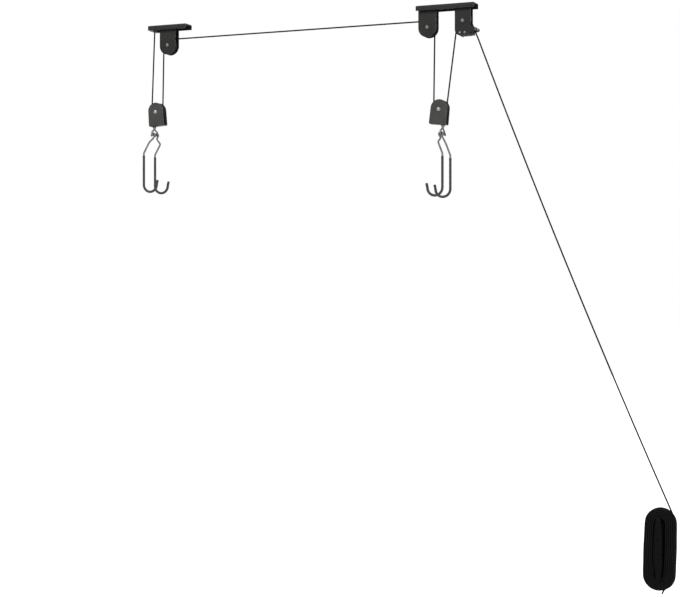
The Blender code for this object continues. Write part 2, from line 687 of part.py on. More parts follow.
def make_yoke(side, frame):
    """The swivel: a headed stem in the block's foot, with a wire stirrup under it."""
    web_top = STRAP_THICKNESS - BLOCK_FOOT
    washer_middle = web_top + GAP + WASHER_THICKNESS / 2
    washer = ring(
        f"{side}_swivel_washer",
        (SWIVEL_SHIFT, 0.0, washer_middle),
        SWIVEL_RADIUS + RUNNING_GAP,
        WASHER_RADIUS,
        WASHER_THICKNESS / 2,
        frame,
        along="Z",
    )
    finish(washer, ZINC, 0.35, 1.0)
    head_base = web_top + 2 * GAP + WASHER_THICKNESS
    collar_top = -BLOCK_FOOT - GAP
    collar_low = collar_top - SWIVEL_COLLAR_HEIGHT
    stem_low = collar_low - SWIVEL_NECK
    collar = SWIVEL_HEAD_RADIUS * 0.9
    profile = rivet_head(SWIVEL_HEAD_RADIUS, SWIVEL_HEAD_HEIGHT, head_base) + [
        (SWIVEL_RADIUS, head_base),
        (SWIVEL_RADIUS, collar_top),
        (collar, collar_top),
        (collar, collar_low),
        (SWIVEL_RADIUS, collar_low),
        (SWIVEL_RADIUS, stem_low),
        (0.0, stem_low - SWIVEL_RADIUS * 0.4),
    ]
    place = (SWIVEL_SHIFT, 0.0, 0.0)
    yoke = turned(f"{side}_swivel_yoke", PARTS, profile, PIN_STEPS, place, frame, "Z")
    apex = Vector((SWIVEL_SHIFT, 0.0, stem_low + YOKE_WIRE_RADIUS * 0.6))
    foot = Vector((SWIVEL_SHIFT, YOKE_HALF_SPAN, -YOKE_BAR_DROP))
    shoulder = Vector((SWIVEL_SHIFT, YOKE_SHOULDER_SPAN, -YOKE_SHOULDER_DROP))
    middle = Vector((foot.x, 0.0, foot.z))
    right = rounded([middle, foot, shoulder, apex], YOKE_CORNER, BEND_STEPS)
    left = [Vector((point.x, -point.y, point.z)) for point in reversed(right)]
    loop = right[:-1] + left[:-1]
    name = f"{side}_stirrup"
    stirrup = tube(name, CUTTERS, loop, YOKE_WIRE_RADIUS, LOOP_RESOLUTION, frame, closed=True)
    combine(yoke, mesh_of(stirrup), "UNION")
    finish(yoke, ZINC, 0.35, 1.0)


def hook_path(hand, splay, offset):
    """Middle line of a hook's wire, from the open end of its eye to its tip, about the bar."""
    eye_y = hand * HOOK_SPACING
    leave = math.radians(225.0)
    start = -math.pi / 2 + HOOK_EYE_OPENING
    angles = [start + (leave - start) * i / EYE_STEPS for i in range(EYE_STEPS + 1)]
    eye = [HOOK_EYE_RADIUS * Vector((math.cos(a), 0.0, math.sin(a))) for a in angles]
    eye = [point + Vector((0.0, eye_y, 0.0)) for point in eye]
    neck = Vector((0.0, eye_y, -HOOK_EYE_RADIUS * 1.9))
    knee = Vector((0.0, hand * splay, -HOOK_OFFSET_TOP))
    shank = Vector((offset, hand * splay, -HOOK_OFFSET_END))
    crook = Vector((offset - HOOK_CROOK_RADIUS, hand * splay, -HOOK_CROOK_DROP))
    rim = crook + Vector((HOOK_CROOK_RADIUS, 0.0, 0.0))
    leg = rounded([eye[-1], neck, knee, shank, rim], HOOK_BEND, BEND_STEPS)[1:-1]
    bowl_angles = [-math.pi * i / CROOK_STEPS for i in range(CROOK_STEPS + 1)]
    bowl = [crook + HOOK_CROOK_RADIUS * Vector((math.cos(a), 0.0, math.sin(a))) for a in bowl_angles]
    tip = bowl[-1] + Vector((-HOOK_TIP_FLARE, 0.0, HOOK_TIP_RISE))
    return eye + leg + bowl + [tip]


def make_hook(name, frame, hand, splay, offset):
    """A wire hook on the stirrup's bar, and the soft sleeve over its lower half."""
    path = hook_path(hand, splay, offset)
    wire = tube(name, PARTS, path, HOOK_WIRE_RADIUS, WIRE_RESOLUTION, frame)
    finish(wire, ZINC, 0.35, 1.0)
    mouth = Vector((offset, hand * splay, -SLEEVE_TOP_DROP))
    lower = [point for point in path if point.z < mouth.z]
    onward = (lower[-1] - lower[-2]).normalized()
    bore = [mouth + Vector((0.0, 0.0, SLEEVE_BORE_OVERRUN))] + lower[:-1] + [lower[-1] + onward * GAP]
    skin = [mouth] + lower[:-1] + [lower[-1] + onward * (GAP + SLEEVE_TIP)]
    bore_radius = HOOK_WIRE_RADIUS + GAP
    outer = tube(name + "_sleeve", PARTS, skin, bore_radius + SLEEVE_WALL, WIRE_RESOLUTION, frame)
    inner = tube(name + "_sleeve_bore", CUTTERS, bore, bore_radius, WIRE_RESOLUTION, frame)
    sleeve = mesh_of(outer)
    combine(sleeve, mesh_of(inner), "DIFFERENCE")
    finish(sleeve, VINYL, 0.6, 0.0)


def hank_point(turn, reach, layer):
    """A point of the hank: turns are counted clockwise from its top, and reach inwards from its
    outermost loop.
    """
    radius = HANK_END_RADIUS - reach
    share = (turn % 1.0) * POINTS_A_LOOP
    quarter = POINTS_A_LOOP / 6
    if share < quarter or share >= 5 * quarter:
        angle = math.pi / 2 - ((share + quarter) % POINTS_A_LOOP - quarter) / quarter * math.pi / 2
        x, z = radius * math.cos(angle), HANK_HALF_RUN + radius * math.sin(angle)
    elif share < 2 * quarter:
        x, z = radius, HANK_HALF_RUN * (1 - 2 * (share - quarter) / quarter)
    elif share < 4 * quarter:
        angle = -(share - 2 * quarter) / quarter * math.pi / 2
        x, z = radius * math.cos(angle), -HANK_HALF_RUN + radius * math.sin(angle)
    else:
        x, z = -radius, HANK_HALF_RUN * (2 * (share - 4 * quarter) / quarter - 1)
    if abs(z) < HANK_HALF_RUN:
        x += math.copysign(HANK_BULGE * math.cos(z / HANK_HALF_RUN * math.pi / 2) ** 2, x)
    flat = Vector((x, layer * HANK_LAYER_STEP, z))
    flat.rotate(Matrix.Rotation(HANK_LEAN, 3, "Y"))
    return HANK_MIDDLE + flat


def hank_reach(turn, first_turn):
    """How far in the spiral is, and its layer: in and out at a steady rate, with a climb along the
    run in the middle of which the spiral turns back.
    """
    reach = 0.0
    layer = 0.0
    direction = 1.0
    before = first_turn
    half_climb = 1.0 / 12.0
    for reversal in HANK_REVERSALS:
        if turn > reversal - half_climb:
            layer += min(1.0, (turn - reversal + half_climb) / (2 * half_climb))
        if turn > reversal:
            reach += direction * (reversal - before)
            direction = -direction
            before = reversal
    return HANK_STEP * (reach + direction * (turn - before)), layer


def hank_end_middle():
    """Centre of the hank's upper round end."""
    up = Vector((0.0, 0.0, HANK_HALF_RUN))
    up.rotate(Matrix.Rotation(HANK_LEAN, 3, "Y"))
    return HANK_MIDDLE + up


def hank_path(arriving):
    """The hank's middle line, from where the taut run touches its outermost loop to the tail."""
    centre = hank_end_middle()
    spoke = arriving[1] - centre
    angle = math.atan2(spoke.z, spoke.x) + HANK_LEAN
    first_turn = (math.pi / 2 - angle) / math.tau * (2.0 / 3.0)
    along = (arriving[1] - arriving[0]).normalized()
    path = [arriving[1] - along * 2 * ROPE_RADIUS, arriving[1]]
    index = math.ceil(first_turn * POINTS_A_LOOP + 0.15)
    while index / POINTS_A_LOOP < HANK_LAST_TURN:
        turn = index / POINTS_A_LOOP
        reach, layer = hank_reach(turn, first_turn)
        path.append(hank_point(turn, reach, layer))
        index += 1
    leaving = (path[-1] - path[-2]).normalized()
    down = Vector((0.0, 0.0, -1.0))
    for share, fall in HANK_TAIL_FALLS:
        path.append(path[-1] + (leaving + fall * down).normalized() * HANK_TAIL * share)
    return path


def distance_between(p, p2, q, q2):
    """Least distance between two straight pieces."""
    d1, d2, r = p2 - p, q2 - q, p - q
    a, e, f = d1.dot(d1), d2.dot(d2), d2.dot(r)
    c, b = d1.dot(r), d1.dot(d2)
    denominator = a * e - b * b
    s = min(1.0, max(0.0, (b * f - c * e) / denominator)) if denominator > 1e-18 else 0.0
    t = (b * s + f) / e
    if t < 0.0:
        t, s = 0.0, min(1.0, max(0.0, -c / a))
    elif t > 1.0:
        t, s = 1.0, min(1.0, max(0.0, (b - c) / a))
    return ((p + d1 * s) - (q + d2 * t)).length


def least_gap(path, radius):
    """Least gap between two stretches of a wound tube that aren't next to each other."""
    apart = POINTS_A_LOOP // 2
    least = math.inf
    for i in range(len(path) - 1):
        for j in range(i + apart, len(path) - 1):
            if (path[i] - path[j]).length < NEIGHBOURHOOD:
                found = distance_between(path[i], path[i + 1], path[j], path[j + 1])
                least = min(least, found)
    return least - 2 * radius


def make_rope():
    """The rope in the pieces that move differently, in the order in which it runs."""
    reach = ROPE_PITCH_RADIUS
    bar_low = -PLATE_LIP - GAP - ANCHOR_BAR[2]
    fixed = Vector((LEFT_PIN.x + ANCHOR_SHIFT, 0.0, bar_low + ANCHOR_BAR[2] + GAP))
    end_middle = hank_end_middle()
    dead = run_between(fixed, 0.0, LEFT_AXLE, reach)
    live = run_between(LEFT_AXLE, reach, LEFT_PIN, -reach)
    overhead = run_between(LEFT_PIN, -reach, RIGHT_PIN, -reach)
    down = run_between(RIGHT_PIN, -reach, RIGHT_AXLE, reach)
    up = run_between(RIGHT_AXLE, reach, LOCK_PIN, -reach)
    leaving = run_between(LOCK_PIN, -reach, end_middle, -HANK_END_RADIUS - HANK_ENTRY)
    along = (leaving[1] - leaving[0]).normalized()
    exit_point = leaving[0] + along * (-ROPE_EXIT_DROP - leaving[0].z) / along.z
    hank = hank_path(leaving)
    over_brackets = wrapped(LEFT_PIN, live[1], overhead[0], False)
    over_brackets += wrapped(RIGHT_PIN, overhead[1], down[0], False)
    over_lock = wrapped(LOCK_PIN, up[1], leaving[0], False) + [exit_point]
    pieces = {
        "rope_dead_strand": list(dead),
        "rope_left_bight": wrapped(LEFT_AXLE, dead[1], live[0], True),
        "rope_left_live_strand": list(live),
        "rope_over_brackets": over_brackets,
        "rope_right_down_strand": list(down),
        "rope_right_bight": wrapped(RIGHT_AXLE, down[1], up[0], True),
        "rope_right_up_strand": list(up),
        "rope_over_lock": over_lock,
        "rope_free_run": sagging(exit_point, hank[0]),
    }
    for name, points in pieces.items():
        path = trimmed(points, GAP / 2, GAP / 2)
        strand = tube(name, PARTS, path, ROPE_RADIUS, WIRE_RESOLUTION)
        finish(strand, ROPE_BLACK, 0.85, 0.0)
    wound = tube("rope_hank", PARTS, trimmed(hank, GAP / 2, 0.0), ROPE_RADIUS, LOOP_RESOLUTION)
    finish(wound, ROPE_BLACK, 0.85, 0.0)
    gap = least_gap(hank, ROPE_RADIUS)
    print(f"least gap of the hank to itself: {gap * 1000:.2f} mm")
    length = sum((b - a).length for a, b in zip(hank, hank[1:]))
    run = pieces["rope_free_run"]
    free = sum((b - a).length for a, b in zip(run, run[1:]))
    print(f"rope in the hank: {length:.2f} m, free run: {free:.3f} m")
    make_anchor(fixed)
    return leaving


def make_anchor(fixed):
    """The bar under the left plate that holds the rope's end knot."""
    bar_middle = fixed.z - GAP - ANCHOR_BAR[2] / 2
    mesh = bpy.data.meshes.new("rope_anchor_bar")
    edit = bmesh.new()
    bmesh.ops.create_cube(edit, size=1.0)
    bmesh.ops.scale(edit, verts=edit.verts, vec=ANCHOR_BAR)
    edit.to_mesh(mesh)
    edit.free()
    bar = keep(bpy.data.objects.new("rope_anchor_bar", mesh), PARTS)
    bar.location = (fixed.x, 0.0, bar_middle)
    depth = ANCHOR_BAR[2] + 2 * CUT_MARGIN
    drilled(bar, "anchor_hole", bar.location, ROPE_RADIUS + 2 * GAP, depth, along="Z")
    finish(bar, PAINT, 0.42, 0.0)
    low = fixed.z + GAP
    high = low + KNOT_HEIGHT
    middle = (low + high) / 2
    profile = [
        (0.0, high),
        (KNOT_RADIUS * 0.7, high),
        (KNOT_RADIUS, middle),
        (KNOT_RADIUS * 0.7, low),
        (0.0, low),
    ]
    knot = turned("rope_end_knot", PARTS, profile, PIN_STEPS, (fixed.x, 0.0, 0.0), along="Z")
    finish(knot, ROPE_BLACK, 0.85, 0.0)


def make_cleat():
    """A two-legged cleat whose horns reach in front of the hank and whose legs pass through it."""
    horn_back = -ROPE_RADIUS - 2 * GAP
    horn_front = horn_back - CLEAT_HORN_THICKNESS
    base_front = WALL_Y - CLEAT_BASE[1]
    length = CLEAT_HALF_LENGTH
    root = base_front + CLEAT_ROOT
    flare = CLEAT_LEG_OUTER + CLEAT_FOOT_FLARE
    tip_front = horn_back - CLEAT_TIP_THICKNESS
    slope = length - CLEAT_TIP_TAPER
    outer = [
        (root, -flare),
        (root, flare),
        (base_front - CLEAT_FOOT_RISE, CLEAT_LEG_OUTER),
        (horn_back, CLEAT_LEG_OUTER),
        (horn_back, length),
        (tip_front, length),
        (horn_front, slope),
        (horn_front, -slope),
        (tip_front, -length),
        (horn_back, -length),
        (horn_back, -CLEAT_LEG_OUTER),
        (base_front - CLEAT_FOOT_RISE, -CLEAT_LEG_OUTER),
    ]
    window = [
        (base_front - CLEAT_FOOT_RISE, -CLEAT_LEG_INNER),
        (base_front - CLEAT_FOOT_RISE, CLEAT_LEG_INNER),
        (horn_back, CLEAT_LEG_INNER),
        (horn_back, -CLEAT_LEG_INNER),
    ]
    cleat = outlined("wall_cleat", PARTS, [outer, window], 2 * CLEAT_WIDTH, "X")
    place = Vector((HANK_MIDDLE.x, 0.0, HANK_MIDDLE.z))
    cleat.location = place
    side, tip = CLEAT_WIDTH / 2, CLEAT_TIP_WIDTH / 2
    front = [(side, -CLEAT_LEG_OUTER), (side, CLEAT_LEG_OUTER)]
    front += arc(0.0, length - tip, tip, 0, 180, 6)
    front += [(-side, CLEAT_LEG_OUTER), (-side, -CLEAT_LEG_OUTER)]
    front += arc(0.0, tip - length, tip, 180, 360, 6)
    shape = outlined("cleat_shape", CUTTERS, [front], 4 * STRAP_OUTER, "Y")
    shape.location = place
    combine(cleat, shape, "INTERSECT")
    base = outlined("cleat_base", CUTTERS, [cleat_base_outline()], CLEAT_BASE[1], "Y")
    base.location = (place.x, WALL_Y - CLEAT_BASE[1] / 2, place.z)
    combine(cleat, base, "UNION")
    leg = (CLEAT_LEG_INNER + CLEAT_LEG_OUTER) / 2
    for i, z in enumerate((-leg, leg)):
        middle = place + Vector((0.0, 0.0, z))
        depth = 2 * (WALL_Y + CUT_MARGIN)
        drilled(cleat, f"cleat_screw_hole_{i}", middle, CLEAT_SCREW_RADIUS, depth)
    return finish(cleat, NYLON, 0.5, 0.0)


def cleat_base_outline():
    across, up = CLEAT_BASE[0] / 2, CLEAT_BASE[2] / 2
    top = arc(0.0, up - across, across, 0, 180, 8)
    bottom = arc(0.0, across - up, across, 180, 360, 8)
    return top + bottom


for leftover in list(bpy.data.objects):
    bpy.data.objects.remove(leftover)
PARTS = make_collection("Ceiling bike hoist", False)
CUTTERS = make_collection("Cutters", True)

taut_run = make_rope()
guide_middle = guide_place(taut_run)
make_brackets(guide_middle)
make_lock(taut_run, guide_middle)
make_block("left", LEFT_AXLE, math.pi, LEFT_BLOCK_TILT, LEFT_HOOK_SPLAY, LEFT_HOOK_OFFSET)
make_block("right", RIGHT_AXLE, 0.0, RIGHT_BLOCK_TILT, RIGHT_HOOK_SPLAY, RIGHT_HOOK_OFFSET)
make_cleat()
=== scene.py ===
"""Detailed shapes and finishes for the ceiling bike hoist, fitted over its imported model.

The camera and the rope come first. The pins and wheels follow, then the blocks with their yokes and hooks,
the brackets, the lock's cam, the cleat and the knot, and the stage and lamps come last. Everything is in
metres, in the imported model's frame.
"""

import json
import math

import bmesh
import bpy
from mathutils import Matrix, Quaternion, Vector


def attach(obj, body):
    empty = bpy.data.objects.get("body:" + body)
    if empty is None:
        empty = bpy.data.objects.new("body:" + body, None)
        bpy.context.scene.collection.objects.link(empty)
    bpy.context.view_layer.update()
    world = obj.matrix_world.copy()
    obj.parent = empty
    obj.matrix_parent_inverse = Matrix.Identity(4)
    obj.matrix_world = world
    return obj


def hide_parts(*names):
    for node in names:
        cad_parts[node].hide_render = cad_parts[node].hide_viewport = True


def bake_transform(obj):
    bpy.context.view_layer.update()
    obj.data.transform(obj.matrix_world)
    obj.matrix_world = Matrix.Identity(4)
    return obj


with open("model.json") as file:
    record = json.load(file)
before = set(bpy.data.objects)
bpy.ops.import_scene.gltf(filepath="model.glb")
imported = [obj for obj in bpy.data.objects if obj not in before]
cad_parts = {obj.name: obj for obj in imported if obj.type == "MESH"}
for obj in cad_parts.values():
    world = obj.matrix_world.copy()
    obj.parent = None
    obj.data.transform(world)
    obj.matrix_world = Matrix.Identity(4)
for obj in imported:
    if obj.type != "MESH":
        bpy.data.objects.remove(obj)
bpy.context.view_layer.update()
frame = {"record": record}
SLOT_OF = {row["node"]: row["material_slot"] for row in frame["record"]["subparts"]}
ROOT = "frame_and_rope"
NO_TURN = Matrix.Identity(4)
MM = 0.001

# Camera
LENS = 84.7
SENSOR_WIDTH = 36.0
CLIP_START = 0.05
CLIP_END = 60.0
CAMERA_PLACE = (1.32, -3.86, -0.747)
CAMERA_AZIMUTH = math.radians(22.7)

# Plates and straps
GAP = 0.0003
PLATE_WIDTH = 0.039
PLATE_DROP = 0.0132
PLATE_THICKNESS = 0.0025
PLATE_BEND = 0.0038
LEFT_PLATE_MIDDLE = -0.7994
LEFT_PLATE_LENGTH = 0.115
RIGHT_PLATE_LENGTH = 0.155
SCREW_HOLE = 0.0035
HALF_STRAP = 0.011
HALF_INNER = 0.009
STRAP_THICKNESS = 0.002
STRAP_BEND = 0.0032
RIVET_SPACING = 0.026
RIVET_RADIUS = 0.0022
RIVET_SINK = 0.0036
RIVET_HEAD = 0.0042
RIVET_HEAD_HEIGHT = 0.0015
BAR_THICKNESS = 0.0015
BAR_HALF_WIDTH = 0.006
BAR_LENGTH = 0.036
BAR_HOLE = 0.0026
PLATE_EDGE = 0.0004
STRAP_EDGE = 0.0003
CAM_EDGE = 0.0002
CLEAT_EDGE = 0.0007
THROUGH_SHEET = 0.012
THROUGH_CAM = 0.04
THROUGH_ALL = 0.05

# Places of the pins, axles and rope, and the tilts of the blocks
LEFT_PIN = Vector((-0.8009, 0.0, -0.0550))
RIGHT_PIN = Vector((-0.0494, 0.0, -0.0550))
LOCK_PIN = Vector((0.0454, 0.0, -0.0440))
LEFT_AXLE = Vector((-0.8384, 0.0, -0.2356))
RIGHT_AXLE = Vector((-0.0182, 0.0, -0.2655))
CAM_AXIS = Vector((0.0514, 0.0, -0.0745))
STOP_AXIS = Vector((0.0384, 0.0, -0.0745))
GUIDE_AXIS = Vector((0.079758, 0.0, -0.068461))
ROPE_FIXED = Vector((-0.8465, 0.0, -PLATE_DROP))
LEFT_TILT = math.radians(4.0)
RIGHT_TILT = math.radians(6.0)

# Pins and wheels
AXLE_RADIUS = 0.003
AXLE_HEAD = 0.005
AXLE_HEAD_HEIGHT = 0.0025
BUSH_RADIUS = 0.0045
CAM_PIN_RADIUS = 0.0022
CAM_PIN_HEAD = 0.0034
CAM_PIN_HEAD_HEIGHT = 0.0016
GUIDE_PIN_RADIUS = 0.0015
GUIDE_PIN_HEAD = 0.0025
GUIDE_PIN_HEAD_HEIGHT = 0.0014
GUIDE_RADIUS = 0.003
PULLEY_RADIUS = 0.0205
HUB_RADIUS = 0.0075
HALF_RIM = 0.0048
CHAMFER = 0.0004

# Lock cam
CAM_WIDTH = 0.0168
CAM_BORE = 0.0025
CAM_HUB = 0.0068
CAM_TAIL = 0.0145
CAM_TEETH = 6
CAM_TOOTH = 0.0013
CAM_GROWTH = 0.0018
CAM_TOP = math.radians(12.0)
CAM_SWEEP = math.radians(30.0)
CAM_TAIL_ROOM = math.radians(16.0)

# Blocks, yokes and hooks
BLOCK_FOOT = 0.0388
BLOCK_TOP = 0.0254
BLOCK_ROUND = 0.0223
BLOCK_HALF_FOOT = 0.023
SWIVEL_SHIFT = 0.012
STEM_RADIUS = 0.0035
STEM_HEAD = 0.006
STEM_HEAD_HEIGHT = 0.0028
STEM_LENGTH = 0.0065
COLLAR_RADIUS = 0.0054
COLLAR_HEIGHT = 0.003
WASHER_RADIUS = 0.0078
HALF_WASHER = 0.0006
YOKE_BAR_DROP = 0.0625
YOKE_SHOULDER_DROP = 0.0530
YOKE_HALF_SPAN = 0.0155
YOKE_SHOULDER_SPAN = 0.0146
YOKE_WIRE = 0.0023
HOOK_WIRE = 0.0025
HOOK_EYE = 0.0051
HOOK_SPACING = 0.0098
HOOK_SPLAY = 0.031
HOOK_KNEE_DROP = 0.0215
HOOK_SHANK_DROP = 0.051
LEFT_HOOK_OFFSET = 0.017
RIGHT_HOOK_OFFSET = 0.0115
CROOK_RADIUS = 0.020
CROOK_DROP = 0.137
SLEEVE_TOP_DROP = 0.058
SLEEVE_WALL = 0.0009

# Rope and its braid
ROPE_RADIUS = 0.002
ROPE_PITCH = 0.017
ROPE_EXIT_DROP = 0.090
FREE_RUN_SAG = 0.009
HANK_MIDDLE = Vector((0.540, 0.0, -1.3524))
HANK_BULGE = 0.0011
HANK_HALF_RUN = 0.062
HANK_END_RADIUS = 0.038
HANK_STEP = 0.0046
HANK_ENTRY = 0.0004
HANK_LEAN = math.radians(1.7)
HANK_REVERSALS = (5.75, 11.25, 16.75)
HANK_LAST_TURN = 22.47
LOOP_POINTS = 24
TAIL_STEP = 0.009
STRANDS = 4
BRAID_PERIOD = 0.0035
BRAID_DEPTH = 0.00013
BRAID_SINK = 0.6 * BRAID_DEPTH

# Colours
BARE_STEEL = (0.085, 0.083, 0.08)
DUST = (0.07, 0.067, 0.062)
# Painted shade for the gaps between the rope's braided strands
BRAID_GAP_SHADE = (0.0015, 0.0015, 0.0016)
YARN = (0.006, 0.006, 0.0062)
WORN_YARN = (0.011, 0.011, 0.0112)

# Stage
FLOOR_WIDTH = 60.0
FLOOR_HEIGHT = -2.4
FLOOR_COLOUR = (0.8, 0.8, 0.8)
SKY_LIGHT = 0.5


# Paths


def length_of(path):
    return sum((b - a).length for a, b in zip(path, path[1:]))


def run_between(start, start_reach, end, end_reach):
    """Both ends of the straight rope between two wheels."""
    span = end - start
    heading = math.atan2(span.z, span.x) + math.asin((start_reach - end_reach) / span.length)
    right = Vector((math.sin(heading), 0.0, -math.cos(heading)))
    return start + right * start_reach, end + right * end_reach


def wrapped(centre, first, last, turning_left, step=math.radians(3.0)):
    """The rope round a wheel, from where it meets the wheel to where it leaves."""
    start = math.atan2(first.z - centre.z, first.x - centre.x)
    end = math.atan2(last.z - centre.z, last.x - centre.x)
    sweep = (end - start) % math.tau if turning_left else -((start - end) % math.tau)
    steps = max(2, round(abs(sweep) / step))
    radius = (first - centre).length
    angles = [start + sweep * i / steps for i in range(steps + 1)]
    return [centre + radius * Vector((math.cos(a), 0.0, math.sin(a))) for a in angles]


def rounded(points, radius, steps):
    """An open path with each inner corner rounded off."""
    path = [points[0]]
    for before, corner, after in zip(points, points[1:], points[2:]):
        back = (before - corner).normalized()
        on = (after - corner).normalized()
        half = back.angle(on) / 2
        reach = radius / math.tan(half)
        reach = min(reach, (before - corner).length * 0.49, (after - corner).length * 0.49)
        swing = reach * math.tan(half)
        middle = corner + (back + on).normalized() * swing / math.sin(half)
        first = corner + back * reach - middle
        turn = first.rotation_difference(corner + on * reach - middle)
        for i in range(steps + 1):
            spoke = first.copy()
            spoke.rotate(Quaternion().slerp(turn, i / steps))
            path.append(middle + spoke)
    return path + [points[-1]]


def resampled(points, step):
    """The same polyline with evenly spaced points, its ends kept."""
    lengths = [0.0]
    for a, b in zip(points, points[1:]):
        lengths.append(lengths[-1] + (b - a).length)
    count = max(1, round(lengths[-1] / step))
    made = []
    index = 0
    for i in range(count + 1):
        want = lengths[-1] * i / count
        while index < len(points) - 2 and lengths[index + 1] < want:
            index += 1
        span = lengths[index + 1] - lengths[index]
        share = (want - lengths[index]) / span if span > 0.0 else 0.0
        made.append(points[index].lerp(points[index + 1], min(1.0, share)))
    return made


def smoothed(points, steps):
    """A Catmull-Rom curve through the points."""
    made = []
    last = len(points) - 1
    for i in range(last):
        p0, p1 = points[max(0, i - 1)], points[i]
        p2, p3 = points[i + 1], points[min(last, i + 2)]
        for j in range(steps):
            t = j / steps
            a = p1 * 2 + (p2 - p0) * t
            b = (p0 * 2 - p1 * 5 + p2 * 4 - p3) * t * t
            c = (p1 * 3 - p0 - p2 * 3 + p3) * t * t * t
            made.append((a + b + c) / 2)
    return made + [points[-1]]


def arc(across, up, radius, start, end, steps):
    """Points on a circle from one angle to another, in degrees, ends included."""
    angles = [math.radians(start + (end - start) * i / steps) for i in range(steps + 1)]
    return [(across + radius * math.cos(a), up + radius * math.sin(a)) for a in angles]


# Meshes


def new_object(name, data):
    """A mesh, lamp or camera as an object of the scene."""
    made = bpy.data.objects.new(name, data)
    bpy.context.scene.collection.objects.link(made)
    return made


def mesh_object(name, vertices, faces):
    mesh = bpy.data.meshes.new(name)
    mesh.from_pydata(vertices, [], faces)
    mesh.update()
    mesh.shade_smooth()
    return new_object(name, mesh)


def face_outwards(mesh):
    edit = bmesh.new()
    edit.from_mesh(mesh)
    bmesh.ops.recalc_face_normals(edit, faces=edit.faces)
    edit.to_mesh(mesh)
    edit.free()


def smooth_below(mesh, degrees):
    """Smooth shading, apart from edges that turn by more than an angle."""
    mesh.shade_smooth()
    mesh.set_sharp_from_angle(angle=math.radians(degrees))


def frames_along(points):
    """A tangent and two cross directions at each point, turned as little as possible."""
    tangents = []
    for i in range(len(points)):
        a, b = points[max(0, i - 1)], points[min(len(points) - 1, i + 1)]
        tangents.append((b - a).normalized())
    side = tangents[0].orthogonal().normalized()
    frames = []
    for tangent in tangents:
        side = (side - tangent * side.dot(tangent)).normalized()
        frames.append((tangent, side, tangent.cross(side)))
    return frames


def circle(centre, side, up, radii):
    """A ring of points in the plane of two cross directions, each at its own radius."""
    ring = []
    for j, radius in enumerate(radii):
        a = math.tau * j / len(radii)
        ring.append(centre + (side * math.cos(a) + up * math.sin(a)) * radius)
    return ring


def skin(name, rings, endless=False):
    """A closed surface through rings of points. Both ends are capped, or it runs back into itself."""
    around = len(rings[0])
    vertices = [point for ring in rings for point in ring]
    last = len(vertices) - around
    faces = []
    for low in range(0, len(vertices) if endless else last, around):
        high = (low + around) % len(vertices)
        for j in range(around):
            k = (j + 1) % around
            faces.append((low + j, low + k, high + k, high + j))
    if not endless:
        faces += [tuple(reversed(range(around))), tuple(range(last, len(vertices)))]
    return mesh_object(name, vertices, faces)


def tube(name, points, radii, around=20):
    """A closed tube with its own radius at each point."""
    rings = []
    for (_, side, up), point, radius in zip(frames_along(points), points, radii):
        rings.append(circle(point, side, up, [radius] * around))
    made = skin(name, rings)
    smooth_below(made.data, 40.0)
    return made


def closed_tube(name, points, radius, around=24):
    """A wire bent to a closed loop that lies in one plane."""
    after = points[1:] + points[:1]
    middle = sum(points, Vector()) / len(points)
    normal = sum(((a - middle).cross(b - middle) for a, b in zip(points, after)), Vector()).normalized()
    rings = []
    for before, point, onward in zip(points[-1:] + points, points, after):
        side = normal.cross((onward - before).normalized())
        rings.append(circle(point, side, normal, [radius] * around))
    made = skin(name, rings, endless=True)
    face_outwards(made.data)
    return made


def braided(name, points, rings_a_period=4, around=16):
    """A braided rope: a tube whose skin rises at each crossing of its strands."""
    path = resampled(points, BRAID_PERIOD / rings_a_period)
    step = length_of(points) / (len(path) - 1)
    rings = []
    for i, ((_, side, up), point) in enumerate(zip(frames_along(path), path)):
        wave = math.cos(math.tau * i * step / BRAID_PERIOD) if rings_a_period > 2 else (-1.0) ** i
        relief = [BRAID_DEPTH * wave * math.cos(STRANDS * math.tau * j / around) for j in range(around)]
        rings.append(circle(point, side, up, [ROPE_RADIUS - BRAID_SINK + rise for rise in relief]))
    made = skin(name, rings)
    layer = made.data.uv_layers.new(name="braid")
    corner = 0
    for i in range(len(path) - 1):
        low, high = i * step, i * step + step
        for j in range(around):
            for u, v in ((j, low), (j + 1, low), (j + 1, high), (j, high)):
                layer.data[corner].uv = (u / around, v)
                corner += 1
    return made, path


def turned(node, profile, place, along="Y", steps=48, matrix=NO_TURN):
    """A lathe piece about an axis. Its profile of (radius, height) points is closed."""
    vertices, rings = [], []
    for radius, height in profile:
        if radius < 1e-6:
            rings.append([len(vertices)])
            vertices.append(Vector((0.0, 0.0, height)))
            continue
        rings.append(list(range(len(vertices), len(vertices) + steps)))
        for j in range(steps):
            a = math.tau * j / steps
            vertices.append(Vector((radius * math.cos(a), radius * math.sin(a), height)))
    pairs = list(zip(rings, rings[1:]))
    if len(rings[0]) > 1:
        pairs.append((rings[-1], rings[0]))
    faces = []
    for first, second in pairs:
        for j in range(steps):
            k = (j + 1) % steps
            corners = [first[j % len(first)], first[k % len(first)]]
            corners += [second[k % len(second)], second[j % len(second)]]
            faces.append(tuple(dict.fromkeys(corners)))
    made = mesh_object(node + "_turned", vertices, [face for face in faces if len(face) > 2])
    face_outwards(made.data)
    turn = Matrix.Rotation(math.pi / 2, 4, "X") if along == "Y" else NO_TURN
    made.data.transform(matrix @ Matrix.Translation(place) @ turn)
    smooth_below(made.data, 35.0)
    return made


def prism(name, outline, depth, along):
    """An outline extruded equally to both sides: its points are (x, z) along Y and (y, z) along X."""
    vertices = []
    for side in (-depth / 2, depth / 2):
        for across, rise in outline:
            vertices.append(Vector((side, across, rise)) if along == "X" else Vector((across, side, rise)))
    count = len(outline)
    faces = [tuple(range(count)), tuple(range(2 * count - 1, count - 1, -1))]
    faces += [(i, (i + 1) % count, count + (i + 1) % count, count + i) for i in range(count)]
    made = mesh_object(name, vertices, faces)
    face_outwards(made.data)
    return made


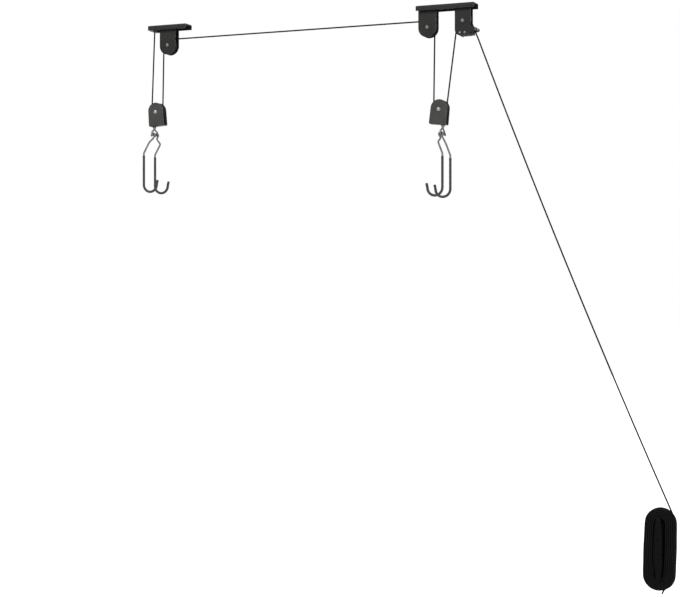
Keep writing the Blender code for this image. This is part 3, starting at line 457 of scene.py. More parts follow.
def settled(name, piece, tools=()):
    """The piece as its modifiers leave it, in an object of its own. The tools are used up."""
    graph = bpy.context.evaluated_depsgraph_get()
    mesh = bpy.data.meshes.new_from_object(piece.evaluated_get(graph))
    for used in (piece, *tools):
        bpy.data.objects.remove(used)
    return new_object(name, mesh)


def combined(name, blank, steps):
    """A blank with each cut, crop or addition made."""
    for operation, tool in steps:
        modifier = blank.modifiers.new(operation.lower(), "BOOLEAN")
        modifier.operation = operation
        modifier.solver = "EXACT"
        modifier.object = tool
    return settled(name, blank, [tool for _, tool in steps])


def cropped(outline, depth=THROUGH_ALL):
    """The step that leaves only what lies inside an (x, z) outline."""
    return "INTERSECT", prism("outline", outline, depth, "Y")


def hole(place, radius, depth=THROUGH_ALL, along="Y", wide=None):
    """The step that cuts a round hole, wider at its far end where it is countersunk."""
    mesh = bpy.data.meshes.new("drill")
    edit = bmesh.new()
    far = wide or radius
    bmesh.ops.create_cone(edit, cap_ends=True, segments=40, radius1=radius, radius2=far, depth=depth)
    if along == "Y":
        bmesh.ops.rotate(edit, verts=edit.verts, matrix=Matrix.Rotation(math.pi / 2, 3, "X"))
    bmesh.ops.translate(edit, verts=edit.verts, vec=place)
    edit.to_mesh(mesh)
    edit.free()
    return "DIFFERENCE", new_object("drill", mesh)


def worked(name, blank, steps, edge, matrix):
    """A blank with each step made and its edges broken by a small round."""
    made = combined(name, blank, steps)
    edit = bmesh.new()
    edit.from_mesh(made.data)
    bmesh.ops.remove_doubles(edit, verts=edit.verts, dist=2e-6)
    bmesh.ops.dissolve_limit(edit, angle_limit=math.radians(0.4), verts=edit.verts, edges=edit.edges)
    edit.to_mesh(made.data)
    edit.free()
    made.data.transform(matrix)
    smooth_below(made.data, 30.0)
    bevel = made.modifiers.new("broken_edges", "BEVEL")
    bevel.width = edge
    bevel.segments = 3
    bevel.limit_method = "ANGLE"
    bevel.angle_limit = math.radians(30.0)
    bevel.use_clamp_overlap = False
    bevel.harden_normals = True
    return made


# Materials


def darker(colour, share):
    return tuple(share * part for part in colour)


class Look:
    """A material, with short ways to add and feed its nodes."""

    def __init__(self, name, roughness, metallic=0.0, gloss=0.5):
        self.material = bpy.data.materials.new(name)
        self.material.use_nodes = True
        self.tree = self.material.node_tree
        self.shader = self.tree.nodes["Principled BSDF"]
        self.shader.inputs["Roughness"].default_value = roughness
        self.shader.inputs["Metallic"].default_value = metallic
        self.shader.inputs["Specular IOR Level"].default_value = gloss
        self.place = self.node("TexCoord").outputs["Object"]

    def node(self, kind, settings=None, **inputs):
        made = self.tree.nodes.new("ShaderNode" + kind)
        for key, value in (settings or {}).items():
            setattr(made, key, value)
        for key, value in inputs.items():
            self.feed(made.inputs[key.replace("_", " ")], value)
        return made

    def feed(self, socket, value):
        """A link, a number, or a colour, which gets its alpha here."""
        if isinstance(value, bpy.types.NodeSocket):
            self.tree.links.new(value, socket)
        else:
            socket.default_value = (*value, 1.0) if socket.type == "RGBA" else value

    def noise(self, scale, detail=3.0, stretch=None, distortion=0.0):
        place = self.place
        if stretch:
            place = self.node("Mapping", Vector=place, Scale=stretch).outputs["Vector"]
        made = self.node("TexNoise", Vector=place, Scale=scale, Detail=detail, Distortion=distortion)
        return made.outputs["Fac"]

    def ranged(self, value, low, high, to_low=0.0, to_high=1.0):
        made = self.node("MapRange", Value=value)
        for end, limit in (("From Min", low), ("From Max", high), ("To Min", to_low), ("To Max", to_high)):
            self.feed(made.inputs[end], limit)
        return made.outputs["Result"]

    def patches(self, scale, detail, low, high, to_low=0.0, to_high=1.0):
        """Noise spread over a range, for stains, wear and an uneven gloss."""
        return self.ranged(self.noise(scale, detail), low, high, to_low, to_high)

    def maths(self, operation, first, second=0.0):
        made = self.node("Math", {"operation": operation})
        self.feed(made.inputs[0], first)
        self.feed(made.inputs[1], second)
        return made.outputs[0]

    def times(self, first, second):
        return self.maths("MULTIPLY", first, second)

    def mix(self, share, first, second):
        made = self.node("Mix", {"data_type": "RGBA"})
        for index, value in ((0, share), (6, first), (7, second)):
            self.feed(made.inputs[index], value)
        return made.outputs[2]

    def edges(self, radius):
        """A mask that is 1 along outer edges."""
        bevel = self.node("Bevel", {"samples": 6}, Radius=radius)
        dot = self.node("VectorMath", {"operation": "DOT_PRODUCT"})
        self.feed(dot.inputs[0], bevel.outputs["Normal"])
        self.feed(dot.inputs[1], self.node("NewGeometry").outputs["Normal"])
        return self.ranged(dot.outputs["Value"], 0.985, 0.86)

    def bump(self, height, distance, strength, under=None):
        made = self.node("Bump", Height=height, Distance=distance, Strength=strength)
        if under:
            self.feed(made.inputs["Normal"], under)
        return made.outputs["Normal"]

    def end(self, colour, roughness, normal):
        for socket, value in (("Base Color", colour), ("Roughness", roughness), ("Normal", normal)):
            if value is not None:
                self.feed(self.shader.inputs[socket], value)
        return self.material


def painted_steel(name, colour, pale, gloss):
    """Powder paint on pressed steel: a fine orange peel, scuffed edges and a little dust on top."""
    look = Look(name, 0.45, gloss=gloss)
    blotch = look.patches(26.0, 5.0, 0.35, 0.7, 0.0, 0.55)
    speckle = look.patches(280.0, 6.0, 0.38, 0.64, 0.0, 0.45)
    base = look.mix(look.maths("ADD", blotch, speckle), colour, pale)
    rub = look.times(look.edges(0.0009), look.patches(330.0, 5.0, 0.46, 0.62))
    base = look.mix(rub, base, BARE_STEEL)
    up = look.node("SeparateXYZ", Vector=look.node("NewGeometry").outputs["Normal"]).outputs["Z"]
    dust = look.times(look.ranged(up, 0.5, 1.0, 0.0, 0.35), look.patches(90.0, 6.0, 0.4, 0.75))
    base = look.mix(dust, base, DUST)
    rough = look.patches(60.0, 6.0, 0.3, 0.7, 0.38, 0.56)
    peel = look.bump(look.noise(820.0), 0.00012, 0.6)
    scratch = look.noise(140.0, 6.0, stretch=(1.0, 14.0, 4.0), distortion=0.4)
    normal = look.bump(look.ranged(scratch, 0.62, 0.70), 0.00004, 0.25, peel)
    return look.end(base, rough, normal)


def zinc_plate(name, colour, dull, rough_low, rough_high):
    """Zinc plate: a slightly mottled metal with fine drawing lines and dull spots."""
    look = Look(name, 0.35, metallic=1.0)
    mottle = look.ranged(look.noise(160.0, 6.0, distortion=0.6), 0.35, 0.68)
    base = look.mix(mottle, colour, dull)
    base = look.mix(look.patches(420.0, 4.0, 0.63, 0.72, 0.0, 0.6), base, darker(dull, 0.6))
    rough = look.patches(95.0, 6.0, 0.3, 0.72, rough_low, rough_high)
    normal = look.bump(look.noise(700.0, 4.0, stretch=(1.0, 1.0, 0.12)), 0.00005, 0.35)
    return look.end(base, rough, normal)


def moulded(name, colour, pale, roughness, grain, depth, gloss=0.4):
    """Moulded plastic or dipped vinyl with a fine grain and edges rubbed pale."""
    look = Look(name, roughness, gloss=gloss)
    base = look.mix(look.patches(48.0, 6.0, 0.3, 0.75), colour, pale)
    rub = look.times(look.edges(0.0008), look.patches(300.0, 4.0, 0.45, 0.65, 0.0, 0.6))
    base = look.mix(rub, base, darker(pale, 2.6))
    rough = look.patches(130.0, 5.0, 0.3, 0.7, roughness - 0.07, roughness + 0.08)
    return look.end(base, rough, look.bump(look.noise(grain), depth, 0.5))


def rope_look():
    """Braided black cord: painted shade in the gaps between its strands, fine yarns along them and a slight
    fuzz.
    """
    look = Look("rope_braid", 0.82, gloss=0.12)
    place = look.node("SeparateXYZ", Vector=look.node("UVMap", {"uv_map": "braid"}).outputs["UV"])
    around = look.times(place.outputs["X"], math.tau * STRANDS)
    along = look.times(place.outputs["Y"], math.tau / BRAID_PERIOD)
    rise = look.maths("ABSOLUTE", look.times(look.maths("COSINE", around), look.maths("COSINE", along)))
    yarn = look.maths("SINE", look.times(look.maths("ADD", around, along), 3.0))
    crossed = look.maths("SINE", look.times(look.maths("SUBTRACT", around, along), 3.0))
    side = look.maths("GREATER_THAN", look.maths("COSINE", along), 0.0)
    other = look.maths("SUBTRACT", 1.0, side)
    lines = look.maths("ADD", look.times(yarn, side), look.times(crossed, other))
    # Darker towards the gaps between strands: painted shade. The yarn lines mixed in are the cord's own
    # texture
    shade = look.ranged(look.maths("ADD", rise, look.times(lines, 0.12)), 0.0, 0.9)
    worn = look.mix(look.patches(70.0, 5.0, 0.35, 0.7, 0.0, 0.6), YARN, WORN_YARN)
    fuzz = look.bump(look.noise(2600.0, 2.0), 0.0001, 0.4)
    normal = look.bump(look.maths("ADD", rise, look.times(lines, 0.25)), 0.00018, 0.7, fuzz)
    return look.end(look.mix(shade, BRAID_GAP_SHADE, worn), None, normal)


LOOKS = {}
# Each finish has its maker, a name, two colours and the maker's other values
for make, name, *values in (
    (painted_steel, "plate_paint", (0.0066, 0.0062, 0.0058), (0.0175, 0.0164, 0.0154), 0.16),
    (painted_steel, "block_paint", (0.027, 0.0262, 0.0254), (0.05, 0.0487, 0.047), 0.24),
    (zinc_plate, "zinc", (0.32, 0.32, 0.314), (0.22, 0.22, 0.215), 0.32, 0.48),
    (zinc_plate, "dull_zinc", (0.145, 0.145, 0.142), (0.1, 0.1, 0.098), 0.36, 0.54),
    (zinc_plate, "hook_zinc", (0.18, 0.18, 0.175), (0.115, 0.114, 0.11), 0.34, 0.52),
    (zinc_plate, "cam_steel", (0.04, 0.039, 0.038), (0.024, 0.0235, 0.023), 0.58, 0.75),
    (moulded, "nylon", (0.016, 0.016, 0.016), (0.026, 0.026, 0.025), 0.42, 1500.0, 0.00006),
    (moulded, "vinyl", (0.034, 0.0335, 0.0325), (0.048, 0.047, 0.0455), 0.52, 900.0, 0.00008, 0.26),
    (moulded, "cleat_plastic", (0.002, 0.002, 0.002), (0.0036, 0.0036, 0.0036), 0.66, 1900.0, 0.0001, 0.06),
    (moulded, "rope_knot", (0.006, 0.006, 0.006), (0.012, 0.012, 0.012), 0.85, 2600.0, 0.0001),
):
    LOOKS[name] = make(name, *values)
LOOKS["rope"] = rope_look()


def dressed(piece, node, body=None, look=None):
    """A piece that stands for a node gets its finish and its body."""
    piece.data.materials.clear()
    piece.data.materials.append(LOOKS[look or SLOT_OF[node]])
    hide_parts(node)
    if body:
        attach(piece, body)
    return piece


# The photograph's camera

camera_data = bpy.data.cameras.new("camera")
camera_data.lens = LENS
camera_data.sensor_width = SENSOR_WIDTH
camera_data.clip_start = CLIP_START
camera_data.clip_end = CLIP_END
camera = new_object("camera", camera_data)
camera.location = CAMERA_PLACE
camera.rotation_euler = (math.pi / 2, 0.0, CAMERA_AZIMUTH)
bpy.context.scene.camera = camera

# Rope

HANK_TURN = Matrix.Rotation(HANK_LEAN, 3, "Y")
end_middle = HANK_MIDDLE + HANK_TURN @ Vector((0.0, 0.0, HANK_HALF_RUN))
# Each straight run, by the two points where it meets its wheels
dead = run_between(ROPE_FIXED, 0.0, LEFT_AXLE, ROPE_PITCH)
live = run_between(LEFT_AXLE, ROPE_PITCH, LEFT_PIN, -ROPE_PITCH)
overhead = run_between(LEFT_PIN, -ROPE_PITCH, RIGHT_PIN, -ROPE_PITCH)
down = run_between(RIGHT_PIN, -ROPE_PITCH, RIGHT_AXLE, ROPE_PITCH)
up = run_between(RIGHT_AXLE, ROPE_PITCH, LOCK_PIN, -ROPE_PITCH)
leaving = run_between(LOCK_PIN, -ROPE_PITCH, end_middle, -HANK_END_RADIUS - HANK_ENTRY)
run_direction = (leaving[1] - leaving[0]).normalized()
exit_point = leaving[0] + run_direction * (-ROPE_EXIT_DROP - leaving[0].z) / run_direction.z


def hank_point(turn, reach, layer):
    """A loop's point: two straight runs that bow a little, and a half circle at each end."""
    radius = HANK_END_RADIUS - reach
    sixths = (turn % 1.0) * 6
    if sixths < 1 or sixths >= 5:
        angle = math.pi / 2 * (2 - (sixths + 1) % 6)
        x, z = radius * math.cos(angle), HANK_HALF_RUN + radius * math.sin(angle)
    elif sixths < 2:
        x, z = radius, HANK_HALF_RUN * (3 - 2 * sixths)
    elif sixths < 4:
        angle = math.pi / 2 * (2 - sixths)
        x, z = radius * math.cos(angle), radius * math.sin(angle) - HANK_HALF_RUN
    else:
        x, z = -radius, HANK_HALF_RUN * (2 * sixths - 9)
    if abs(z) < HANK_HALF_RUN:
        x += math.copysign(HANK_BULGE * math.cos(z / HANK_HALF_RUN * math.pi / 2) ** 2, x)
    return HANK_MIDDLE + HANK_TURN @ Vector((x, layer * HANK_STEP, z))


def hank_reach(turn, first_turn):
    """How far a loop lies in from the outermost one, and its layer, after each reversal so far."""
    reach, layer, direction, before = 0.0, 0.0, 1.0, first_turn
    half_climb = 1.0 / 12.0
    for reversal in HANK_REVERSALS:
        if turn > reversal - half_climb:
            layer += min(1.0, (turn - reversal + half_climb) / (2 * half_climb))
        if turn > reversal:
            reach += direction * (reversal - before)
            direction = -direction
            before = reversal
    return HANK_STEP * (reach + direction * (turn - before)), layer


def hank_path():
    """The rope from the end of its free run through all its loops to a short bare tail."""
    spoke = leaving[1] - end_middle
    angle = math.atan2(spoke.z, spoke.x) + HANK_LEAN
    first_turn = (math.pi / 2 - angle) / math.tau * (2.0 / 3.0)
    path = [leaving[1] - run_direction * 2 * ROPE_RADIUS, leaving[1]]
    index = math.ceil(first_turn * LOOP_POINTS + 0.15)
    while index / LOOP_POINTS < HANK_LAST_TURN:
        turn = index / LOOP_POINTS
        path.append(hank_point(turn, *hank_reach(turn, first_turn)))
        index += 1
    onward = (path[-1] - path[-2]).normalized()
    fall = Vector((0.0, 0.0, -1.0))
    path.append(path[-1] + (onward + 0.45 * fall).normalized() * TAIL_STEP * 0.55)
    path.append(path[-1] + (onward + 1.1 * fall).normalized() * TAIL_STEP)
    return path


def rope_piece(node, points, body=None, rings_a_period=4):
    """A stretch of braided rope, and the middle line that it follows."""
    made, path = braided(node + "_braid", points, rings_a_period)
    return dressed(made, node, body), path


def sagging(first, last, steps):
    """The run to the cleat, which bows a little under its own weight."""
    along = (last - first).normalized()
    across = Vector((along.z, 0.0, -along.x))
    shares = [i / steps for i in range(steps + 1)]
    return [first.lerp(last, s) + across * (4 * FREE_RUN_SAG * s * (1 - s)) for s in shares]


hank_points = hank_path()
free_run, free_path = rope_piece("rope_free_run", sagging(exit_point, hank_points[0], 48), ROOT)
hank, hank_line = rope_piece("rope_hank", smoothed(hank_points, 4), ROOT, 2)

over_left = wrapped(LEFT_PIN, live[1], overhead[0], False)
over_right = wrapped(RIGHT_PIN, overhead[1], down[0], False)
rope_piece("rope_over_brackets", over_left + over_right, ROOT)
rope_piece("rope_over_lock", wrapped(LOCK_PIN, up[1], leaving[0], False) + [exit_point], ROOT)
rope_piece("rope_left_bight", wrapped(LEFT_AXLE, dead[1], live[0], True), "left_lift")
rope_piece("rope_right_bight", wrapped(RIGHT_AXLE, down[1], up[0], True), "right_lift")
for node, ends, lift in (
    ("rope_dead_strand", dead, "left_lift"),
    ("rope_left_live_strand", (live[1], live[0]), "left_lift"),
    ("rope_right_down_strand", down, "right_lift"),
    ("rope_right_up_strand", (up[1], up[0]), "right_lift"),
):
    strand, _ = rope_piece(node, list(ends))
    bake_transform(strand)


# Turned pieces


def dome(radius, height, base, steps=8):
    """A low round head, from its top down to its rim."""
    made = []
    for i in range(steps + 1):
        a = math.pi / 2 * (1 - i / steps)
        made.append((radius * math.cos(a), base + height * math.sin(a)))
    made[0] = (0.0, base + height)
    return made


def both_ends(upper):
    """A profile with its mirror image below."""
    return upper + [(r, -h) for r, h in reversed(upper)]


def pin(node, place, radius, head, height, body):
    """A riveted pin: a domed head with a small rim on each side of the strap."""
    base = HALF_STRAP + GAP
    rim = height * 0.28
    upper = dome(head * 0.96, height - rim, base + rim)
    upper += [(head, base + rim * 0.8), (head, base), (radius, base)]
    made = turned(node, both_ends(upper), place, steps=40)
    dressed(made, node, body, "dull_zinc" if body == ROOT else None)


def ring_end(bore, radius, half, chamfer):
    """The end of a ring, from its bore to its rim, with both corners broken."""
    low = half - chamfer
    return [(bore, low), (bore + chamfer, half), (radius - chamfer, half), (radius, low)]


def hollow(node, place, bore, radius, half, body, chamfer=CHAMFER, along="Y", matrix=NO_TURN):
    """A bush, roller or washer."""
    profile = both_ends(ring_end(bore, radius, half, chamfer))
    dressed(turned(node, profile, place, along, 40, matrix), node, body)


def pulley(node, place):
    """A moulded wheel: a round groove, rolled rims, a thin web and a hub that reaches the cheeks."""
    floor = ROPE_PITCH - ROPE_RADIUS - GAP
    mouth = PULLEY_RADIUS - 0.0012
    hub = ring_end(BUSH_RADIUS + GAP, HUB_RADIUS, HALF_INNER - 2 * GAP, CHAMFER)
    web = [(0.0078, 0.0042), (0.0086, 0.0032), (0.0108, 0.0030), (0.0124, 0.0034), (0.0134, 0.0044)]
    outer, side = PULLEY_RADIUS, HALF_RIM
    rim = [(0.0142, side), (outer - 0.0006, side), (outer - 0.0002, side - 0.0002)]
    rim += [(outer, side - 0.0006), (outer - 0.0003, side - 0.0011)]
    angles = [math.radians(10.0 * i) for i in range(9)]
    groove = [(floor + (mouth - floor) * (1 - math.sin(a)), 0.0012 + 0.0021 * math.cos(a)) for a in angles]
    made = turned(node, both_ends(hub + web + rim + groove), place, steps=64)
    dressed(made, node, node)


def rivet(node, place):
    """A countersunk rivet through plate and strap, with its round head below."""
    under = -PLATE_THICKNESS - STRAP_THICKNESS - 2 * GAP
    head = [(r, under - (h - under)) for r, h in reversed(dome(RIVET_HEAD, RIVET_HEAD_HEIGHT, under))]
    sink = [(0.0, -GAP), (RIVET_SINK - 0.0002, -GAP), (RIVET_SINK, -2 * GAP)]
    shank = [(RIVET_RADIUS, -PLATE_THICKNESS + GAP), (RIVET_RADIUS, under)]
    dressed(turned(node, sink + shank + head, place, "Z", 32), node, ROOT)


for prefix, place, body in (
    ("left_bracket", LEFT_PIN, ROOT),
    ("right_bracket", RIGHT_PIN, ROOT),
    ("lock", LOCK_PIN, ROOT),
    ("left_block", LEFT_AXLE, "left_block"),
    ("right_block", RIGHT_AXLE, "right_block"),
):
    pin(prefix + "_axle", place, AXLE_RADIUS, AXLE_HEAD, AXLE_HEAD_HEIGHT, body)
    hollow(prefix + "_bush", place, AXLE_RADIUS + GAP, BUSH_RADIUS, HALF_INNER - GAP, body)
    pulley(prefix + "_pulley", place)
pin("cam_pivot_pin", CAM_AXIS, CAM_PIN_RADIUS, CAM_PIN_HEAD, CAM_PIN_HEAD_HEIGHT, ROOT)
pin("cam_stop_pin", STOP_AXIS, CAM_PIN_RADIUS, CAM_PIN_HEAD, CAM_PIN_HEAD_HEIGHT, ROOT)
pin("guide_pin", GUIDE_AXIS, GUIDE_PIN_RADIUS, GUIDE_PIN_HEAD, GUIDE_PIN_HEAD_HEIGHT, ROOT)
hollow("guide_roller", GUIDE_AXIS, GUIDE_PIN_RADIUS + GAP, GUIDE_RADIUS, HALF_INNER - 2 * GAP,
       "guide_roller", 0.0003)
for name, place in (("left_housing", LEFT_PIN), ("right_housing", RIGHT_PIN), ("lock_housing", LOCK_PIN)):
    for letter, side in (("a", -1), ("b", 1)):
        rivet(f"{name}_rivet_{letter}", Vector((place.x + side * RIVET_SPACING / 2, 0.0, 0.0)))


# Swivel yokes and hooks


def yoke(side, matrix):
    """The headed stem and its wire stirrup, as one forged piece."""
    base = STRAP_THICKNESS - BLOCK_FOOT + 2 * GAP + 2 * HALF_WASHER
    collar_top = -BLOCK_FOOT - GAP
    collar_low = collar_top - COLLAR_HEIGHT
    stem_low = collar_low - STEM_LENGTH
    profile = dome(STEM_HEAD, STEM_HEAD_HEIGHT, base) + [(STEM_RADIUS, base), (STEM_RADIUS, collar_top)]
    profile += [(COLLAR_RADIUS - 0.0004, collar_top), (COLLAR_RADIUS, collar_top - 0.0004)]
    profile += [(COLLAR_RADIUS, collar_low + 0.0006), (COLLAR_RADIUS - 0.0006, collar_low)]
    profile += [(STEM_RADIUS + 0.0003, collar_low - 0.0004), (STEM_RADIUS, collar_low - 0.0012)]
    profile += [(STEM_RADIUS, stem_low), (STEM_RADIUS - 0.0007, stem_low - 0.001), (0.0, stem_low - 0.0014)]
    stem = turned(side + "_stem", profile, Vector((SWIVEL_SHIFT, 0.0, 0.0)), "Z", 40, matrix)
    apex = Vector((SWIVEL_SHIFT, 0.0, stem_low + YOKE_WIRE * 0.6))
    foot = Vector((SWIVEL_SHIFT, YOKE_HALF_SPAN, -YOKE_BAR_DROP))
    shoulder = Vector((SWIVEL_SHIFT, YOKE_SHOULDER_SPAN, -YOKE_SHOULDER_DROP))
    middle = Vector((SWIVEL_SHIFT, 0.0, -YOKE_BAR_DROP))
    right = rounded([middle, foot, shoulder, apex], 0.003, 10)
    left = [Vector((point.x, -point.y, point.z)) for point in reversed(right)]
    loop = resampled([matrix @ point for point in right + left[1:]], 0.0007)[:-1]
    stirrup = closed_tube(side + "_stirrup", loop, YOKE_WIRE)
    made = combined(side + "_swivel_yoke_forged", stem, [("UNION", stirrup)])
    smooth_below(made.data, 35.0)
    dressed(made, side + "_swivel_yoke", side + "_swivel", "hook_zinc")


def hook_path(hand, offset):
    """Middle line of a hook's wire, from the open end of its eye to its tip, about the bar."""
    beside = hand * HOOK_SPACING
    out = hand * HOOK_SPLAY
    eye = [Vector((x, beside, z)) for x, z in arc(0.0, 0.0, HOOK_EYE, -40.0, 225.0, 28)]
    neck = Vector((0.0, beside, -HOOK_EYE * 1.9))
    knee = Vector((0.0, out, -HOOK_KNEE_DROP))
    shank = Vector((offset, out, -HOOK_SHANK_DROP))
    crook_start = Vector((offset, out, -CROOK_DROP))
    leg = rounded([eye[-1], neck, knee, shank, crook_start], 0.006, 8)[1:-1]
    crook = arc(offset - CROOK_RADIUS, -CROOK_DROP, CROOK_RADIUS, 0.0, -180.0, 40)
    bowl = [Vector((x, out, z)) for x, z in crook]
    return eye + leg + bowl + [bowl[-1] + Vector((-0.0025, 0.0, 0.011))]


def sleeve(name, line, bore, wall, around=28):
    """Dipped vinyl over a wire: a rolled mouth, a slightly uneven wall and a closed round tip."""
    frames = frames_along(line)
    last = len(line) - 1
    outer = bore + wall

    def ring(i, radius, shift=0.0):
        tangent, side, up = frames[i]
        return circle(line[i] + tangent * shift, side, up, [radius] * around)

    rings = [ring(last, bore, -0.0012)] + [ring(i, bore) for i in range(last - 2, 0, -1)]
    rings += [ring(0, bore, 0.0002), ring(0, bore + 0.0001)]
    rings += [ring(0, outer - 0.0002, -0.0001), ring(0, outer, 0.0003)]
    along = 0.0
    for i in range(1, last):
        along += (line[i] - line[i - 1]).length
        drip = 0.00006 * math.sin(along * 420.0) + 0.00012 * (along / 0.11) ** 3
        rings.append(ring(i, outer + min(drip, 0.0002) - 0.0002))
    for i in range(7):
        a = math.radians(13.0 * i)
        rings.append(ring(last, outer * math.cos(a), 0.0022 * math.sin(a) - 0.0011))
    made = skin(name, rings)
    face_outwards(made.data)
    smooth_below(made.data, 40.0)
    return made


def hook(side, rank, hand, matrix, offset):
    """A wire hook that swings on the stirrup's bar, and the sleeve on its lower half."""
    node = f"{side}_{rank}_hook"
    line = [matrix @ point for point in hook_path(hand, offset)]
    wire_line = resampled(line, 0.0011)
    radii = [HOOK_WIRE] * len(wire_line)
    radii[0] = radii[-1] = HOOK_WIRE * 0.82
    dressed(tube(node + "_wire", wire_line, radii, 24), node, node)
    mouth = (matrix @ Vector((offset, hand * HOOK_SPLAY, -SLEEVE_TOP_DROP))).z
    lower = [point for point in line if point.z < mouth]
    below = lower[0]
    above = line[line.index(below) - 1]
    first = above.lerp(below, (above.z - mouth) / (above.z - below.z))
    cover = resampled([first] + lower, 0.0016)
    made = sleeve(node + "_sleeve_dipped", cover, HOOK_WIRE + 0.0001, SLEEVE_WALL)
    dressed(made, node + "_sleeve", node)


# Pressed, folded and moulded pieces


def folded(width, drop, thickness, bend):
    """Section (y, z) of a strip whose long edges are folded down. Its web's top is at z = 0."""
    side = width / 2
    outer = arc(bend - side, -bend, bend, 180, 90, 9) + arc(side - bend, -bend, bend, 90, 0, 9)
    inner = arc(side - bend, -bend, bend - thickness, 0, 90, 9)
    inner += arc(bend - side, -bend, bend - thickness, 90, 180, 9)
    lips = [(side, -drop), (side - thickness, -drop)]
    return [(-side, -drop)] + outer + lips + inner + [(thickness - side, -drop)]


def plate(node, middle, length, pins, screws):
    """A pressed ceiling plate: its screw holes lie at steps from its first pin."""
    blank = prism(node, folded(PLATE_WIDTH, PLATE_DROP, PLATE_THICKNESS, PLATE_BEND), length, "X")
    shift = Vector((middle, 0.0, 0.0))
    screw_spots = [Vector((pins[0].x + x, 0.0, 0.0)) - shift for x in screws]
    steps = [hole(spot, SCREW_HOLE, THROUGH_SHEET, "Z") for spot in screw_spots]
    for x in [spot.x + side * RIVET_SPACING / 2 for spot in pins for side in (-1, 1)]:
        spot = Vector((x, 0.0, -PLATE_THICKNESS / 2)) - shift
        depth = PLATE_THICKNESS + 2 * GAP
        steps.append(hole(spot, RIVET_RADIUS + GAP, depth, "Z", RIVET_SINK + 2 * GAP))
    made = worked(node + "_pressed", blank, steps, PLATE_EDGE, Matrix.Translation(shift))
    dressed(made, node, ROOT)


def housing(node, place, outline, cheek, pins):
    """A folded strap under the plate, cut from long cheeks to its outline and bored for its pins."""
    top = -PLATE_THICKNESS - GAP
    blank = prism(node, folded(2 * HALF_STRAP, cheek, STRAP_THICKNESS, STRAP_BEND), 0.11, "X")
    blank.data.transform(Matrix.Translation((0.0, 0.0, top - place.z)))
    steps = [cropped(outline)] + [hole(spot - place, radius + GAP) for spot, radius in pins]
    for side in (-1, 1):
        spot = Vector((side * RIVET_SPACING / 2, 0.0, top - place.z))
        steps.append(hole(spot, RIVET_RADIUS + GAP, THROUGH_SHEET, "Z"))
    made = worked(node + "_folded", blank, steps, STRAP_EDGE, Matrix.Translation(place))
    dressed(made, node, ROOT)


def pulley_housing(node, place):
    """A housing with a full round foot."""
    half, top, centre, cheek = 0.024, 0.055, -0.0015, 0.1045
    outline = [(-half, top)] + arc(0.0, centre, half, 180, 360, 56) + [(half, top)]
    housing(node, place, outline, cheek, [(place, AXLE_RADIUS)])


def lock_housing():
    """A housing with one round corner, one nearly square one, and an ear that holds the guide's pin."""
    half, top, foot, cheek = 0.02075, 0.044, 0.0378, 0.0868
    round_corner, square_corner = 0.016, 0.003
    ear_low, ear_high, ear_radius = -0.031, -0.0135, 0.0045
    ear = GUIDE_AXIS - LOCK_PIN
    outline = [(-half, top)] + arc(round_corner - half, round_corner - foot, round_corner, 180, 270, 20)
    outline += arc(half - square_corner, square_corner - foot, square_corner, 270, 360, 8)
    outline += [(half, ear_low)] + arc(ear.x, ear.z, ear_radius, -85, 60, 24)
    outline += [(half, ear_high), (half, top)]
    pins = [(LOCK_PIN, AXLE_RADIUS), (CAM_AXIS, CAM_PIN_RADIUS), (STOP_AXIS, CAM_PIN_RADIUS)]
    pins.append((GUIDE_AXIS, GUIDE_PIN_RADIUS))
    housing("lock_housing", LOCK_PIN, outline, cheek, pins)


def anchor_bar():
    """The bar under the left plate's lips that the rope's fixed end passes through."""
    top = -PLATE_DROP - GAP
    low = top - BAR_THICKNESS
    corners = [(-BAR_HALF_WIDTH, low), (BAR_HALF_WIDTH, low), (BAR_HALF_WIDTH, top), (-BAR_HALF_WIDTH, top)]
    cut = hole(Vector((0.0, 0.0, low)), BAR_HOLE, THROUGH_SHEET, "Z")
    place = Matrix.Translation((ROPE_FIXED.x, 0.0, 0.0))
    made = worked("rope_anchor_bar_cut", prism("bar", corners, BAR_LENGTH, "Y"), [cut], STRAP_EDGE, place)
    dressed(made, "rope_anchor_bar", ROOT)


def block_shell(side, matrix):
    """A folded strap with two round cheeks and a foot that the swivel's stem turns in."""
    foot, low, corner, cheek = BLOCK_HALF_FOOT, -BLOCK_FOOT - GAP, 0.004, 0.0692
    outline = arc(0.0, BLOCK_TOP - BLOCK_ROUND, BLOCK_ROUND, 0, 180, 56)
    outline += arc(corner - foot, low + corner, corner, 180, 270, 10)
    outline += arc(foot - corner, low + corner, corner, 270, 360, 10)
    strip = folded(2 * HALF_STRAP, cheek, STRAP_THICKNESS, STRAP_BEND)
    blank = prism(side + "_shell", [(across, -rise - BLOCK_FOOT) for across, rise in strip], 0.056, "X")
    steps = [cropped(outline), hole(Vector(), AXLE_RADIUS + GAP)]
    stem = Vector((SWIVEL_SHIFT, 0.0, -BLOCK_FOOT))
    steps.append(hole(stem, STEM_RADIUS + GAP, THROUGH_SHEET, "Z"))
    made = worked(side + "_block_shell_folded", blank, steps, STRAP_EDGE, matrix)
    dressed(made, side + "_block_shell", side + "_block")


